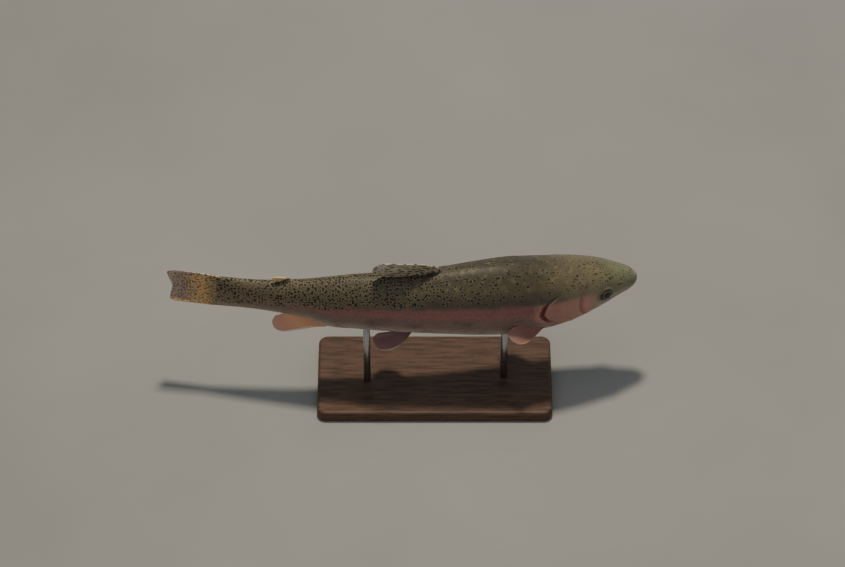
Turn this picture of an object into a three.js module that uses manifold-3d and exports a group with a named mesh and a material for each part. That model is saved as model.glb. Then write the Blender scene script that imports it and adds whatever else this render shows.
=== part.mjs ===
// A rainbow trout, life size, swimming with a gentle bend, held up by a plain display stand.
// Millimetres, +Z up, head toward +X, the fish's right side toward -Y.
// The fish is laid out straight first: t is the distance behind the snout, s the distance out to
// the fish's left, h the height above its long axis. The finished pieces are then bent.
// The origin is the middle of the underside of the stand's base.

import * as THREE from 'three';
import { mergeVertices } from 'three/addons/utils/BufferGeometryUtils.js';
import Module from 'manifold-3d';

const wasm = await Module();
wasm.setup();

// ---------------------------------------------------------------- driving sizes
const TOTAL_LENGTH = 518;
const GAP = 0.3;

const AXIS_HEIGHT = 140;      // long axis of the fish above the table
const MIDDLE = 225;           // this station of the fish is over the origin
const REST_SIDE = -10;        // sideways place of the straightest station
const STRAIGHT_STATION = 260;
const HEAD_YAW = 13.2;        // degrees, both ends turn toward the fish's left
const TAIL_YAW = 8.6;
const BEND_START = 90;
const BEND_POWER = 1.81;
const TAIL_TWIST = 6;         // degrees, upper lobe leans toward the fish's right
const TWIST_START = 425;

const NOSE = 12;              // length over which the snout rounds off
const ROUND = 32;             // facets around the body

const HEAD_END = 96;
const TRUNK_CUTS = [178, 262, 352];
const STALK_END = 458;

const EYE_T = 40.5;
const EYE_H = 0.4;
const EYE_RADIUS = 7.2;
const EYE_BULGE = 2.2;
const EYE_DEPTH = 4.5;

const COVER_PROUD = 0.6;
const COVER_DEEP = 3.6;
const JAW_PROUD = 0.7;
const JAW_DEEP = 2.0;

const BASE_LENGTH = 260;
const BASE_WIDTH = 120;
const BASE_HEIGHT = 14;
const BASE_CHAMFER = 2.5;
const BASE_CORNER = 10;
const ROD_RADIUS = 4;
const ROD_STATIONS = [148, 300];

// Stations of the body: distance behind the snout, back above the axis, belly below the axis,
// half width, height of the widest line, fullness of the upper half, fullness of the lower half.
const STATIONS = [
  [0, 8.4, 8.6, 8.6, -0.5, 2.3, 2.2],
  [20, 18.7, 16.2, 14.9, 0.2, 2.5, 1.95],
  [40, 27.6, 26.7, 21.5, 0.8, 2.55, 1.9],
  [63, 34.9, 37.6, 26.1, 1.4, 2.45, 2.05],
  [88, 41.1, 45.1, 29.2, 2.0, 2.3, 2.15],
  [118, 46.9, 48.9, 31.0, 2.2, 2.15, 2.2],
  [146, 50.9, 50.0, 30.8, 2.0, 2.1, 2.2],
  [176, 49.7, 48.6, 28.7, 2.0, 2.1, 2.2],
  [215, 45.2, 45.6, 25.3, 1.5, 2.1, 2.15],
  [257, 40.6, 43.0, 22.4, 1.0, 2.1, 2.15],
  [311, 35.4, 40.4, 18.8, 0.5, 2.1, 2.1],
  [340, 30.6, 39.6, 15.8, 0.2, 2.1, 2.1],
  [365, 26.2, 28.8, 13.2, 0, 2.1, 2.1],
  [405, 21.2, 23.4, 9.9, 0, 2.1, 2.1],
  [432, 20.0, 22.1, 7.8, 0, 2.2, 2.2],
  [465, 22.0, 24.4, 4.2, 0, 2.3, 2.3],
];

// ---------------------------------------------------------------- curves along the fish
function column(k) {
  const n = STATIONS.length;
  const slope = [];
  for (let i = 0; i < n; i += 1) {
    const a = STATIONS[Math.max(0, i - 1)];
    const b = STATIONS[Math.min(n - 1, i + 1)];
    slope.push((b[k] - a[k]) / (b[0] - a[0]));
  }
  return (t) => {
    let i = 0;
    while (i < n - 2 && t > STATIONS[i + 1][0]) i += 1;
    const a = STATIONS[i];
    const b = STATIONS[i + 1];
    const length = b[0] - a[0];
    const u = Math.min(1, Math.max(0, (t - a[0]) / length));
    const u2 = u * u;
    const u3 = u2 * u;
    return (2 * u3 - 3 * u2 + 1) * a[k] + (u3 - 2 * u2 + u) * length * slope[i]
      + (3 * u2 - 2 * u3) * b[k] + (u3 - u2) * length * slope[i + 1];
  };
}

const backAt = column(1);
const bellyAt = column(2);
const widthAt = column(3);
const widestAt = column(4);
const upperAt = column(5);
const lowerAt = column(6);

function noseAt(t) {
  const left = Math.max(0, 1 - Math.max(0, t) / NOSE);
  return Math.sqrt(1 - left * left);
}

// One section: the point at an angle, 0 on the fish's left, a quarter turn on its back.
function bodyPoint(t, angle, grow = 0) {
  const nose = noseAt(t);
  const c = Math.cos(angle);
  const d = Math.sin(angle);
  const widest = widestAt(t);
  const up = d > 0;
  const power = 2 / (up ? upperAt(t) : lowerAt(t));
  const tall = (up ? backAt(t) - widest : bellyAt(t) + widest) * nose + grow;
  const wide = widthAt(t) * nose + grow;
  const s = wide * Math.sign(c) * Math.abs(c) ** power;
  const h = widest * nose + tall * Math.sign(d) * Math.abs(d) ** power;
  return [t, s, h];
}

// Half width of the body at a height, for pieces that lie on its side.
function sideAt(t, h) {
  const nose = noseAt(t);
  const widest = widestAt(t) * nose;
  const up = h > widest;
  const power = up ? upperAt(t) : lowerAt(t);
  const tall = (up ? backAt(t) - widestAt(t) : bellyAt(t) + widestAt(t)) * nose;
  const part = Math.min(0.985, Math.abs(h - widest) / tall);
  return widthAt(t) * nose * (1 - part ** power) ** (1 / power);
}

// ---------------------------------------------------------------- the bend
function yawAt(t) {
  const u = Math.min(1, Math.max(0, (t - BEND_START) / (TOTAL_LENGTH - BEND_START)));
  const turned = (HEAD_YAW + TAIL_YAW) * (1 - (1 - u) ** BEND_POWER);
  return THREE.MathUtils.degToRad(HEAD_YAW - turned);
}

const SPINE = [[0, 0]];
for (let i = 0; i < TOTAL_LENGTH + 20; i += 1) {
  const yaw = yawAt(i + 0.5);
  const [x, y] = SPINE[i];
  SPINE.push([x - Math.cos(yaw), y - Math.sin(yaw)]);
}

function spineAt(t) {
  const i = Math.min(SPINE.length - 2, Math.max(0, Math.floor(t)));
  const u = t - i;
  const a = SPINE[i];
  const b = SPINE[i + 1];
  const x = a[0] + (b[0] - a[0]) * u - SPINE[MIDDLE][0];
  const y = a[1] + (b[1] - a[1]) * u - SPINE[STRAIGHT_STATION][1] + REST_SIDE;
  return [x, y];
}

function bend([t, s, h]) {
  const u = Math.min(1, Math.max(0, (t - TWIST_START) / (TOTAL_LENGTH - TWIST_START)));
  const roll = THREE.MathUtils.degToRad(TAIL_TWIST) * u * u * (3 - 2 * u);
  const out = s * Math.cos(roll) - h * Math.sin(roll);
  const up = h * Math.cos(roll) + s * Math.sin(roll);
  const yaw = yawAt(t);
  const [x, y] = spineAt(t);
  return [x - out * Math.sin(yaw), y + out * Math.cos(yaw), AXIS_HEIGHT + up];
}

// ---------------------------------------------------------------- geometry helpers
function indexed(points, faces) {
  const geometry = new THREE.BufferGeometry();
  geometry.setAttribute('position', new THREE.Float32BufferAttribute(points.flat(), 3));
  geometry.setIndex(faces.flat());
  return geometry;
}

// A closed loft through rings of equal size, each end closed by a fan from its middle.
function loft(rings) {
  const n = rings[0].length;
  const points = rings.flat();
  const faces = [];
  for (let r = 0; r < rings.length - 1; r += 1) {
    for (let i = 0; i < n; i += 1) {
      const a = r * n + i;
      const b = r * n + ((i + 1) % n);
      faces.push([a, b, b + n], [a, b + n, a + n]);
    }
  }
  for (const [r, flip] of [[0, false], [rings.length - 1, true]]) {
    const middle = [0, 1, 2].map((k) => rings[r].reduce((sum, p) => sum + p[k], 0) / n);
    const centre = points.push(middle) - 1;
    for (let i = 0; i < n; i += 1) {
      const a = r * n + i;
      const b = r * n + ((i + 1) % n);
      faces.push(flip ? [centre, a, b] : [centre, b, a]);
    }
  }
  return indexed(points, faces);
}

// Turns a geometry right side out if its volume comes out negative.
function outward(geometry) {
  const p = geometry.getAttribute('position');
  const index = geometry.getIndex();
  const a = new THREE.Vector3();
  const b = new THREE.Vector3();
  const c = new THREE.Vector3();
  let volume = 0;
  for (let i = 0; i < index.count; i += 3) {
    a.fromBufferAttribute(p, index.getX(i));
    b.fromBufferAttribute(p, index.getX(i + 1));
    c.fromBufferAttribute(p, index.getX(i + 2));
    volume += a.dot(b.cross(c));
  }
  if (volume < 0) {
    const turned = Array.from(index.array);
    for (let i = 0; i < turned.length; i += 3) {
      [turned[i], turned[i + 1]] = [turned[i + 1], turned[i]];
    }
    geometry.setIndex(turned);
  }
  return geometry;
}

function solid(source) {
  const bare = source.clone();
  bare.deleteAttribute('normal');
  bare.deleteAttribute('uv');
  const geometry = outward(mergeVertices(bare, 1e-4));
  const mesh = new wasm.Mesh({
    numProp: 3,
    vertProperties: new Float32Array(geometry.getAttribute('position').array),
    triVerts: new Uint32Array(geometry.getIndex().array),
  });
  return new wasm.Manifold(mesh);
}

// The geometry of a joined or cut solid, bent with the fish.
function bent(manifold) {
  const mesh = manifold.getMesh();
  const geometry = new THREE.BufferGeometry();
  const flat = [];
  for (let i = 0; i < mesh.vertProperties.length; i += 3) {
    flat.push(...bend(Array.from(mesh.vertProperties.slice(i, i + 3))));
  }
  geometry.setAttribute('position', new THREE.Float32BufferAttribute(flat, 3));
  geometry.setIndex(Array.from(mesh.triVerts));
  return outward(geometry);
}

// ---------------------------------------------------------------- body lengths
function bodyLength(from, to, step, grow = 0) {
  const stops = [];
  if (from < 1) {
    for (const part of [0.008, 0.05, 0.14, 0.3, 0.52, 0.78]) stops.push(NOSE * part);
    from = NOSE;
  }
  const count = Math.max(1, Math.round((to - from) / step));
  for (let i = 0; i <= count; i += 1) stops.push(from + ((to - from) * i) / count);
  const rings = stops.map((t) => {
    const ring = [];
    for (let i = 0; i < ROUND; i += 1) ring.push(bodyPoint(t, (2 * Math.PI * i) / ROUND, grow));
    return ring;
  });
  return solid(loft(rings));
}

// A plate that lies on the side of the body inside a closed outline: its middle, its outline at an
// angle, how far it stands proud and how deep it goes, on the left (1) or the right (-1).
function sidePlate(middle, outline, proud, deep, grow, side, steps = [0.5, 1]) {
  const around = 24;
  const points = [];
  const faces = [];
  for (const [layer, offset] of [[0, proud], [1, -deep]]) {
    const place = (t, h) => [t, side * (sideAt(t, h) + offset), h];
    const base = points.push(place(...middle)) - 1;
    for (const part of steps) {
      for (let i = 0; i < around; i += 1) {
        const [t, h] = outline((2 * Math.PI * i) / around, grow);
        points.push(place(middle[0] + (t - middle[0]) * part, middle[1] + (h - middle[1]) * part));
      }
    }
    for (let i = 0; i < around; i += 1) {
      const j = (i + 1) % around;
      const fan = [base, base + 1 + i, base + 1 + j];
      faces.push(layer ? fan.reverse() : fan);
      for (let k = 0; k < steps.length - 1; k += 1) {
        const a = base + 1 + k * around + i;
        const b = base + 1 + k * around + j;
        const quad = [[a, a + around, b + around], [a, b + around, b]];
        faces.push(...(layer ? quad.map((face) => face.reverse()) : quad));
      }
    }
  }
  const rim = 1 + (steps.length - 1) * around;
  const under = 1 + steps.length * around;
  for (let i = 0; i < around; i += 1) {
    const a = rim + i;
    const b = rim + ((i + 1) % around);
    faces.push([a, a + under, b + under], [a, b + under, b]);
  }
  return solid(indexed(points, faces));
}

// Gill cover: a rounded plate whose lower end runs forward under the cheek.
const COVER_MIDDLE = [87, -8];
function coverOutline(angle, grow) {
  const c = Math.cos(angle);
  const d = Math.sin(angle);
  const reach = (c > 0 ? 24 : 21) + grow;
  const tall = (d > 0 ? 24 : 24.5) + grow;
  const square = d > 0 ? 0.75 : 0.88;
  const h = COVER_MIDDLE[1] + tall * Math.sign(d) * Math.abs(d) ** square;
  const lean = d < 0 ? -0.5 * (COVER_MIDDLE[1] - h) : -0.1 * (h - COVER_MIDDLE[1]);
  return [COVER_MIDDLE[0] + reach * Math.sign(c) * Math.abs(c) ** square + lean, h];
}

// Upper jaw bone: a narrow leaf along the mouth, ending behind the eye.
const GAPE = [[1, -5], [50, -21.5]];
const JAW_CENTRE = 32.5;
const JAW_SLOPE = (GAPE[1][1] - GAPE[0][1]) / (GAPE[1][0] - GAPE[0][0]);
function jawOutline(angle, grow) {
  const along = Math.cos(angle);
  const across = Math.sin(angle);
  const reach = 19.5 + grow;
  const tall = 2.2 + 1.1 * along + grow;
  const t = JAW_CENTRE + reach * along - tall * across * JAW_SLOPE;
  return [t, GAPE[0][1] + JAW_SLOPE * (t - GAPE[0][0]) + 0.8 + tall * across];
}
const JAW_MIDDLE = [JAW_CENTRE, GAPE[0][1] + JAW_SLOPE * (JAW_CENTRE - GAPE[0][0]) + 0.8];

// Lower jaw: what lies below the line of the mouth and ahead of the throat.
function jawBlock(grow) {
  const shape = new THREE.Shape();
  shape.moveTo(-20, GAPE[0][1] + 6 + grow);
  shape.lineTo(GAPE[1][0] + grow, GAPE[1][1] + grow);
  shape.lineTo(GAPE[1][0] + 10 + grow, -70);
  shape.lineTo(-20, -70);
  const block = new THREE.ExtrudeGeometry(shape, { depth: 120, bevelEnabled: false });
  block.applyMatrix4(new THREE.Matrix4().set(1, 0, 0, 0, 0, 0, -1, 60, 0, 1, 0, 0, 0, 0, 0, 1));
  return solid(block);
}

// ---------------------------------------------------------------- eyes
function eyeball(side, grow) {
  const profile = [];
  const rim = EYE_RADIUS + grow;
  for (let i = 0; i <= 4; i += 1) {
    const a = (i / 4) * (Math.PI / 2);
    profile.push(new THREE.Vector2(rim * Math.sin(a), (EYE_BULGE + grow) * Math.cos(a)));
  }
  profile.push(new THREE.Vector2(rim * 0.86, -(EYE_DEPTH + grow)));
  profile.push(new THREE.Vector2(0, -(EYE_DEPTH + grow)));
  profile[0].x = 0;
  const geometry = new THREE.LatheGeometry(profile.reverse(), 16);
  const s = sideAt(EYE_T, EYE_H) - 0.2;
  const axis = new THREE.Vector3(-0.26, side, 0.12).normalize();
  const turn = new THREE.Quaternion().setFromUnitVectors(new THREE.Vector3(0, 1, 0), axis);
  geometry.applyQuaternion(turn);
  geometry.translate(EYE_T, side * s, EYE_H);
  return solid(geometry);
}

// ---------------------------------------------------------------- fins
// A fin spreads from its root to its edge. Both are curves through a few named points, and the
// rays run between them. It is a thin wedge, thickest at the root.
function fin(root, edge, rootHalf, edgeHalf, across, outwardSteps, side = 1) {
  const turn = (p) => new THREE.Vector3(p[0], p[1] * side, p[2]);
  const rootCurve = new THREE.CatmullRomCurve3(root.map(turn), false, 'centripetal');
  const edgeCurve = new THREE.CatmullRomCurve3(edge.map(turn), false, 'centripetal');
  const at = (u, v) => rootCurve.getPoint(u).lerp(edgeCurve.getPoint(u), v);
  const points = [];
  const faces = [];
  const rows = outwardSteps + 1;
  const columns = across + 1;
  for (const sign of [1, -1]) {
    for (let i = 0; i < columns; i += 1) {
      for (let j = 0; j < rows; j += 1) {
        const u = i / across;
        const v = j / outwardSteps;
        const e = 0.02;
        const du = at(Math.min(1, u + e), v).sub(at(Math.max(0, u - e), v));
        const dv = at(u, 1).sub(at(u, 0));
        const normal = du.cross(dv).normalize();
        const taper = Math.sin(Math.PI * Math.min(1, Math.max(0, u * 0.8 + 0.1))) ** 0.5;
        const half = edgeHalf + (rootHalf - edgeHalf) * (1 - v) * taper;
        points.push(at(u, v).addScaledVector(normal, sign * half).toArray());
      }
    }
  }
  const half = columns * rows;
  const id = (i, j, k) => k * half + i * rows + j;
  for (let i = 0; i < across; i += 1) {
    for (let j = 0; j < outwardSteps; j += 1) {
      const [a, b, c, d] = [id(i, j, 0), id(i + 1, j, 0), id(i + 1, j + 1, 0), id(i, j + 1, 0)];
      faces.push([a, b, c], [a, c, d], [c + half, b + half, a + half], [d + half, c + half, a + half]);
    }
  }
  const rim = [];
  for (let i = 0; i < across; i += 1) rim.push([i, 0]);
  for (let j = 0; j < outwardSteps; j += 1) rim.push([across, j]);
  for (let i = across; i > 0; i -= 1) rim.push([i, outwardSteps]);
  for (let j = outwardSteps; j > 0; j -= 1) rim.push([0, j]);
  for (let k = 0; k < rim.length; k += 1) {
    const a = id(...rim[k], 0);
    const b = id(...rim[(k + 1) % rim.length], 0);
    faces.push([b, a, a + half], [b, a + half, b + half]);
  }
  return solid(indexed(points, faces));
}

// The fins of the back have slumped a little over the right side.
const above = (t, rise, slump = 0) => [t, -slump, backAt(t) + rise];
const below = (t, drop) => [t, 0, -bellyAt(t) - drop];

const SUNK = -5;
const dorsal = fin(
  [above(216, SUNK), above(235, SUNK), above(255, SUNK), above(276, SUNK)],
  [above(222, 9, 3), above(238, 20, 8), above(260, 27.2, 12.2), above(279, 32, 15.2), above(289, 26.8, 13.4),
    above(293, 11.5, 5.6)],
  3.0, 0.6, 14, 3,
);
const adipose = fin(
  [above(377, SUNK), above(383, SUNK), above(390, SUNK)],
  [above(382, 4, 1), above(389, 7.6, 2.6), above(397, 8.8, 3.4), above(402, 6.8, 2.8), above(400, 4, 1.6)],
  1.7, 0.8, 8, 2,
);
const anal = fin(
  [below(338, SUNK), below(352, SUNK), below(366, SUNK), below(379, SUNK)],
  [below(345, 5), below(357, 13), below(376, 25.5), below(391.5, 31), below(401, 27.5), below(404, 18),
    below(400.5, 8)],
  2.6, 0.6, 12, 3,
);

function pelvic(side) {
  return fin(
    [[247, 5, -38.5], [253, 7, -38.5], [260, 8, -37]],
    [[262, 21, -48], [273, 26, -50], [283, 26, -50], [290, 20, -47.5], [292, 13, -44.5], [287, 9, -41.5]],
    2.2, 0.6, 9, 3, side,
  );
}

function pectoral(side) {
  return fin(
    [[101, 15, -31], [104, 18, -26], [107, 20, -20]],
    [[123, 34, -36], [133, 41, -36], [141, 42, -34], [148, 38, -30], [150, 33, -25], [145, 30, -20]],
    2.4, 0.6, 9, 4, side,
  );
}

// Tail fin: half closed, a shallow fork, each lobe rounded at its tip.
const TAIL_HALF = 26;
const FORK = 5;
function tailFin() {
  const n = ROUND;
  const rings = [];
  const steps = 6;
  const top = backAt(STALK_END + GAP);
  const low = bellyAt(STALK_END + GAP);
  for (let r = 0; r <= steps; r += 1) {
    const v = r / steps;
    const ring = [];
    for (let i = 0; i < n; i += 1) {
      const angle = (2 * Math.PI * i) / n;
      const start = bodyPoint(STALK_END + GAP, angle);
      const up = Math.max(-1, Math.min(1, start[2] / (start[2] > 0 ? top : low)));
      const spread = Math.sin((Math.PI / 2) * Math.min(1, v * 1.25));
      const foot = up > 0 ? top : low;
      const tall = foot + (TAIL_HALF - foot) * spread;
      const thin = 1 - v;
      const wide = 0.55 + (widthAt(STALK_END + GAP) - 0.55) * thin ** 1.5;
      const corner = 5 * Math.max(0, Math.abs(up) - 0.9) / 0.1;
      const edge = TOTAL_LENGTH - FORK * (1 - Math.abs(up)) ** 1.3 - corner;
      const t = STALK_END + GAP + (edge - STALK_END - GAP) * v;
      const flat = Math.min(1, v * 2.5);
      const round = Math.cos(angle);
      const s = wide * Math.sign(round) * Math.abs(round) ** (0.9 - 0.5 * flat);
      ring.push([t, s, up * tall]);
    }
    rings.push(ring);
  }
  return solid(loft(rings));
}

// ---------------------------------------------------------------- cutting the pieces
const grown = bodyLength(0, 470, 9, GAP);
const grownPart = (piece) => piece.subtract(grown);

const coverSeats = [1, -1].map((side) => (
  sidePlate(COVER_MIDDLE, coverOutline, 8, COVER_DEEP + GAP, GAP, side, [0.35, 0.7, 1])
));
const jawSeats = [1, -1].map((side) => (
  sidePlate(JAW_MIDDLE, jawOutline, 6, JAW_DEEP + GAP, GAP, side)
));

const cut = (piece, tools) => tools.reduce((rest, tool) => rest.subtract(tool), piece);
const headWhole = bodyLength(0, HEAD_END, 7);
const head = cut(headWhole, [...coverSeats, ...jawSeats, jawBlock(GAP), eyeball(1, GAP), eyeball(-1, GAP)]);
const lowerJaw = cut(headWhole.intersect(jawBlock(0)), [...jawSeats, ...coverSeats]);

const ends = [HEAD_END, ...TRUNK_CUTS, STALK_END];
const lengths = ends.slice(1).map((end, i) => (
  cut(bodyLength(ends[i] + GAP, end, 10), i === 0 ? coverSeats : [])
));

// ---------------------------------------------------------------- materials
function finish(name, color, roughness, metalness) {
  const material = new THREE.MeshStandardMaterial({ color, roughness, metalness });
  material.name = name;
  return material;
}
const skin = () => finish('skin', '#7c7554', 0.38, 0);
const cheek = () => finish('gill cover skin', '#a8705c', 0.34, 0);
const mottled = () => finish('spotted fin', '#80714a', 0.45, 0);
const ruddy = () => finish('red fin', '#9c5a44', 0.45, 0);
const horn = () => finish('eye', '#b8a774', 0.1, 0);
const walnut = () => finish('wood', '#4a3222', 0.5, 0);
const steel = () => finish('steel', '#b4b6b8', 0.35, 1);

const trout = new THREE.Group();
function add(name, geometry, material) {
  const mesh = new THREE.Mesh(geometry, material);
  mesh.name = name;
  mesh.geometry.computeVertexNormals();
  trout.add(mesh);
  return mesh;
}

add('head', bent(head), skin());
add('lower_jaw', bent(lowerJaw), skin());
add('trunk_front', bent(lengths[0]), skin());
add('trunk_middle', bent(lengths[1]), skin());
add('trunk_rear', bent(lengths[2]), skin());
add('tail_stalk', bent(lengths[3]), skin());

for (const [side, word] of [[1, 'left'], [-1, 'right']]) {
  const cover = sidePlate(COVER_MIDDLE, coverOutline, COVER_PROUD, COVER_DEEP, 0, side, [0.35, 0.7, 1]);
  add(`gill_cover_${word}`, bent(cover), cheek());
  const jaw = sidePlate(JAW_MIDDLE, jawOutline, JAW_PROUD, JAW_DEEP, 0, side);
  add(`upper_jaw_${word}`, bent(jaw), skin());
  add(`eye_${word}`, bent(eyeball(side, 0)), horn());
  add(`pectoral_fin_${word}`, bent(cut(grownPart(pectoral(side)), coverSeats)), ruddy());
  add(`pelvic_fin_${word}`, bent(grownPart(pelvic(side))), ruddy());
}

add('dorsal_fin', bent(grownPart(dorsal)), mottled());
add('adipose_fin', bent(grownPart(adipose)), mottled());
add('anal_fin', bent(grownPart(anal)), ruddy());
add('tail_fin', bent(tailFin()), mottled());

// ---------------------------------------------------------------- stand
function roundedPlate() {
  const x = BASE_LENGTH / 2 - BASE_CHAMFER;
  const y = BASE_WIDTH / 2 - BASE_CHAMFER;
  const r = BASE_CORNER;
  const shape = new THREE.Shape();
  shape.moveTo(-x + r, -y);
  shape.lineTo(x - r, -y);
  shape.absarc(x - r, -y + r, r, -Math.PI / 2, 0);
  shape.lineTo(x, y - r);
  shape.absarc(x - r, y - r, r, 0, Math.PI / 2);
  shape.lineTo(-x + r, y);
  shape.absarc(-x + r, y - r, r, Math.PI / 2, Math.PI);
  shape.lineTo(-x, -y + r);
  shape.absarc(-x + r, -y + r, r, Math.PI, Math.PI * 1.5);
  const geometry = new THREE.ExtrudeGeometry(shape, {
    depth: BASE_HEIGHT - 2 * BASE_CHAMFER,
    bevelEnabled: true,
    bevelSize: BASE_CHAMFER,
    bevelThickness: BASE_CHAMFER,
    bevelSegments: 1,
    curveSegments: 4,
  });
  geometry.translate(0, 0, BASE_CHAMFER);
  return geometry;
}

function plainGeometry(source) {
  const bare = source.clone();
  bare.deleteAttribute('normal');
  bare.deleteAttribute('uv');
  return outward(mergeVertices(bare, 1e-4));
}

add('stand_base', plainGeometry(roundedPlate()), walnut());

// The rods stand on the base and end just under the belly.
const bellyBlock = solid(bent(bodyLength(100, 360, 6, GAP)));
ROD_STATIONS.forEach((station, i) => {
  const [x, y] = spineAt(station);
  const tall = AXIS_HEIGHT - BASE_HEIGHT - GAP - 20;
  const rod = new THREE.CylinderGeometry(ROD_RADIUS, ROD_RADIUS, tall, 18, 1);
  rod.rotateX(Math.PI / 2);
  rod.translate(x, y, BASE_HEIGHT + GAP + tall / 2);
  const trimmed = solid(rod).subtract(bellyBlock);
  const mesh = trimmed.getMesh();
  const geometry = new THREE.BufferGeometry();
  geometry.setAttribute('position', new THREE.Float32BufferAttribute(mesh.vertProperties, 3));
  geometry.setIndex(Array.from(mesh.triVerts));
  add(i === 0 ? 'stand_rod_front' : 'stand_rod_rear', geometry, steel());
});

export default trout;
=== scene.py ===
# %% [markdown]
# # A rainbow trout, life size, on a display stand
#
# The fish swims to the right with a gentle bend. It is built as a taxidermist's cast would be:
# one skin over the whole body, scales laid over it row by row, thin rayed fins, glass-like eyes,
# and a plain stand of dark wood with two steel rods. The measured solids come first, as a fixed
# frame that every piece has to fit.

# %% Load the measured solids
import math
from functools import partial
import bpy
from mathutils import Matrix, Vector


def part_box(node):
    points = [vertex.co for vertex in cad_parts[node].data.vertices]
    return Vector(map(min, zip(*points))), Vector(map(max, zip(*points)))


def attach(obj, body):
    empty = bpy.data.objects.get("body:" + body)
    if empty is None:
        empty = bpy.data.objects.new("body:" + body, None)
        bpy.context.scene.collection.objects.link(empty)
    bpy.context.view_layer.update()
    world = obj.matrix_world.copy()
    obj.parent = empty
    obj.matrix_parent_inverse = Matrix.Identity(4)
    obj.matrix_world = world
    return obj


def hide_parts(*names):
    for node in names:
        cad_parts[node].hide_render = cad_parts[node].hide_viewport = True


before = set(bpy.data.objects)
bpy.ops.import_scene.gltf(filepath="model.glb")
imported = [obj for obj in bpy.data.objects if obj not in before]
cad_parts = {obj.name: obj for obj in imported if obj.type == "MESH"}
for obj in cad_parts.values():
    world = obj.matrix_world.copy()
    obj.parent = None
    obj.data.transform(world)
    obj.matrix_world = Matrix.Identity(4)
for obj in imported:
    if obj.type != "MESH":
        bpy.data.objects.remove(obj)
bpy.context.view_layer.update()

from types import SimpleNamespace
import bpy
import numpy as np

# %% [markdown]
# ## The camera
#
# The fish is seen from above and from its right side, 45 degrees down. A short lens close by would
# swell the middle of the fish and shrink its ends. So the camera stands far off with a long lens,
# which keeps the proportions almost flat. It looks along +Y and isn't tilted sideways.

# %% Camera
FRAME_PIXELS = 845
MM_PER_PIXEL = 1.09
CAMERA_DROP = math.radians(45)
CAMERA_AWAY = 3.9
SENSOR = 36.0
FAR_CLIP = 50
AIM_ON_AXIS = (-0.0136, 0.0, 0.140)
AIM_RAISED = 0.0116

sight = np.array([0.0, math.cos(CAMERA_DROP), -math.sin(CAMERA_DROP)])
upward = np.array([0.0, math.sin(CAMERA_DROP), math.cos(CAMERA_DROP)])
frame_width = FRAME_PIXELS * MM_PER_PIXEL / 1000
aim = np.array(AIM_ON_AXIS) + upward * AIM_RAISED
camera_data = bpy.data.cameras.new("camera")
camera_data.sensor_width = SENSOR
camera_data.lens = SENSOR * CAMERA_AWAY / frame_width
camera_data.clip_end = FAR_CLIP
camera = bpy.data.objects.new("camera", camera_data)
camera.location = aim - sight * CAMERA_AWAY
camera.rotation_euler = (math.pi / 2 - CAMERA_DROP, 0, 0)
bpy.context.scene.collection.objects.link(camera)
bpy.context.scene.camera = camera
print("camera: lens", round(camera_data.lens, 1), "mm at", [round(v, 3) for v in camera.location])

# %% [markdown]
# ## The fish's own ruler
#
# A swimming fish is hard to measure, and a straight one is easy. So every point has t, the distance
# behind the snout, s, the distance out to the fish's left, and h, the height over its long axis,
# all in millimetres. The body could be sculpted, but a table of sections is easy to check against a
# ruler. It gives back, belly, half width, the height of the widest line, and how full the section
# is above and below that line. A smooth curve joins the stations.

# %% Stations of the body
TOTAL_LENGTH = 518.0
NOSE = 12.0
STALK_END = 458.0
STATIONS = np.array([
    [0, 8.4, 8.6, 8.6, -0.5, 2.3, 2.2],
    [20, 18.7, 16.2, 14.9, 0.2, 2.5, 1.95],
    [40, 27.6, 26.7, 21.5, 0.8, 2.55, 1.9],
    [63, 34.9, 37.6, 26.1, 1.4, 2.45, 2.05],
    [88, 41.1, 45.1, 29.2, 2.0, 2.3, 2.15],
    [118, 46.9, 48.9, 31.0, 2.2, 2.15, 2.2],
    [146, 50.9, 50.0, 30.8, 2.0, 2.1, 2.2],
    [176, 49.7, 48.6, 28.7, 2.0, 2.1, 2.2],
    [215, 45.2, 45.6, 25.3, 1.5, 2.1, 2.15],
    [257, 40.6, 43.0, 22.4, 1.0, 2.1, 2.15],
    [311, 35.4, 40.4, 18.8, 0.5, 2.1, 2.1],
    [340, 30.6, 39.6, 15.8, 0.2, 2.1, 2.1],
    [365, 26.2, 28.8, 13.2, 0, 2.1, 2.1],
    [405, 21.2, 23.4, 9.9, 0, 2.1, 2.1],
    [432, 20.0, 22.1, 7.8, 0, 2.2, 2.2],
    [465, 22.0, 24.4, 4.2, 0, 2.3, 2.3],
])


def station_curve(column):
    """A smooth curve through one column of the table, as a function of t."""
    x, y = STATIONS[:, 0], STATIONS[:, column]
    before = np.maximum(np.arange(len(x)) - 1, 0)
    after = np.minimum(np.arange(len(x)) + 1, len(x) - 1)
    slope = (y[after] - y[before]) / (x[after] - x[before])

    def at(t):
        t = np.asarray(t, float)
        i = np.clip(np.searchsorted(x, t, side="right") - 1, 0, len(x) - 2)
        span = x[i + 1] - x[i]
        u = np.clip((t - x[i]) / span, 0, 1)
        return ((2 * u**3 - 3 * u**2 + 1) * y[i] + (u**3 - 2 * u**2 + u) * span * slope[i]
                + (3 * u**2 - 2 * u**3) * y[i + 1] + (u**3 - u**2) * span * slope[i + 1])
    return at


back_at, belly_at, width_at, widest_at, upper_at, lower_at = [station_curve(k) for k in range(1, 7)]


def nose_at(t):
    """Share of the full section that is left near the snout, which rounds the snout off."""
    left = np.clip(1 - np.asarray(t, float) / NOSE, 0, 1)
    return np.sqrt(1 - left**2)


print("deepest", round(float(back_at(146) + belly_at(146)), 1), "mm, widest",
      round(2 * float(width_at(118)), 1), "mm")

# %% [markdown]
# ## The bend
#
# The body bends toward the fish's left at both ends, the head more than the tail, and the tail fin
# leans a little. An armature or a curve modifier could bend the finished meshes. One formula is
# safer here: the same bend is applied to everything, so pieces made straight still meet.

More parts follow.
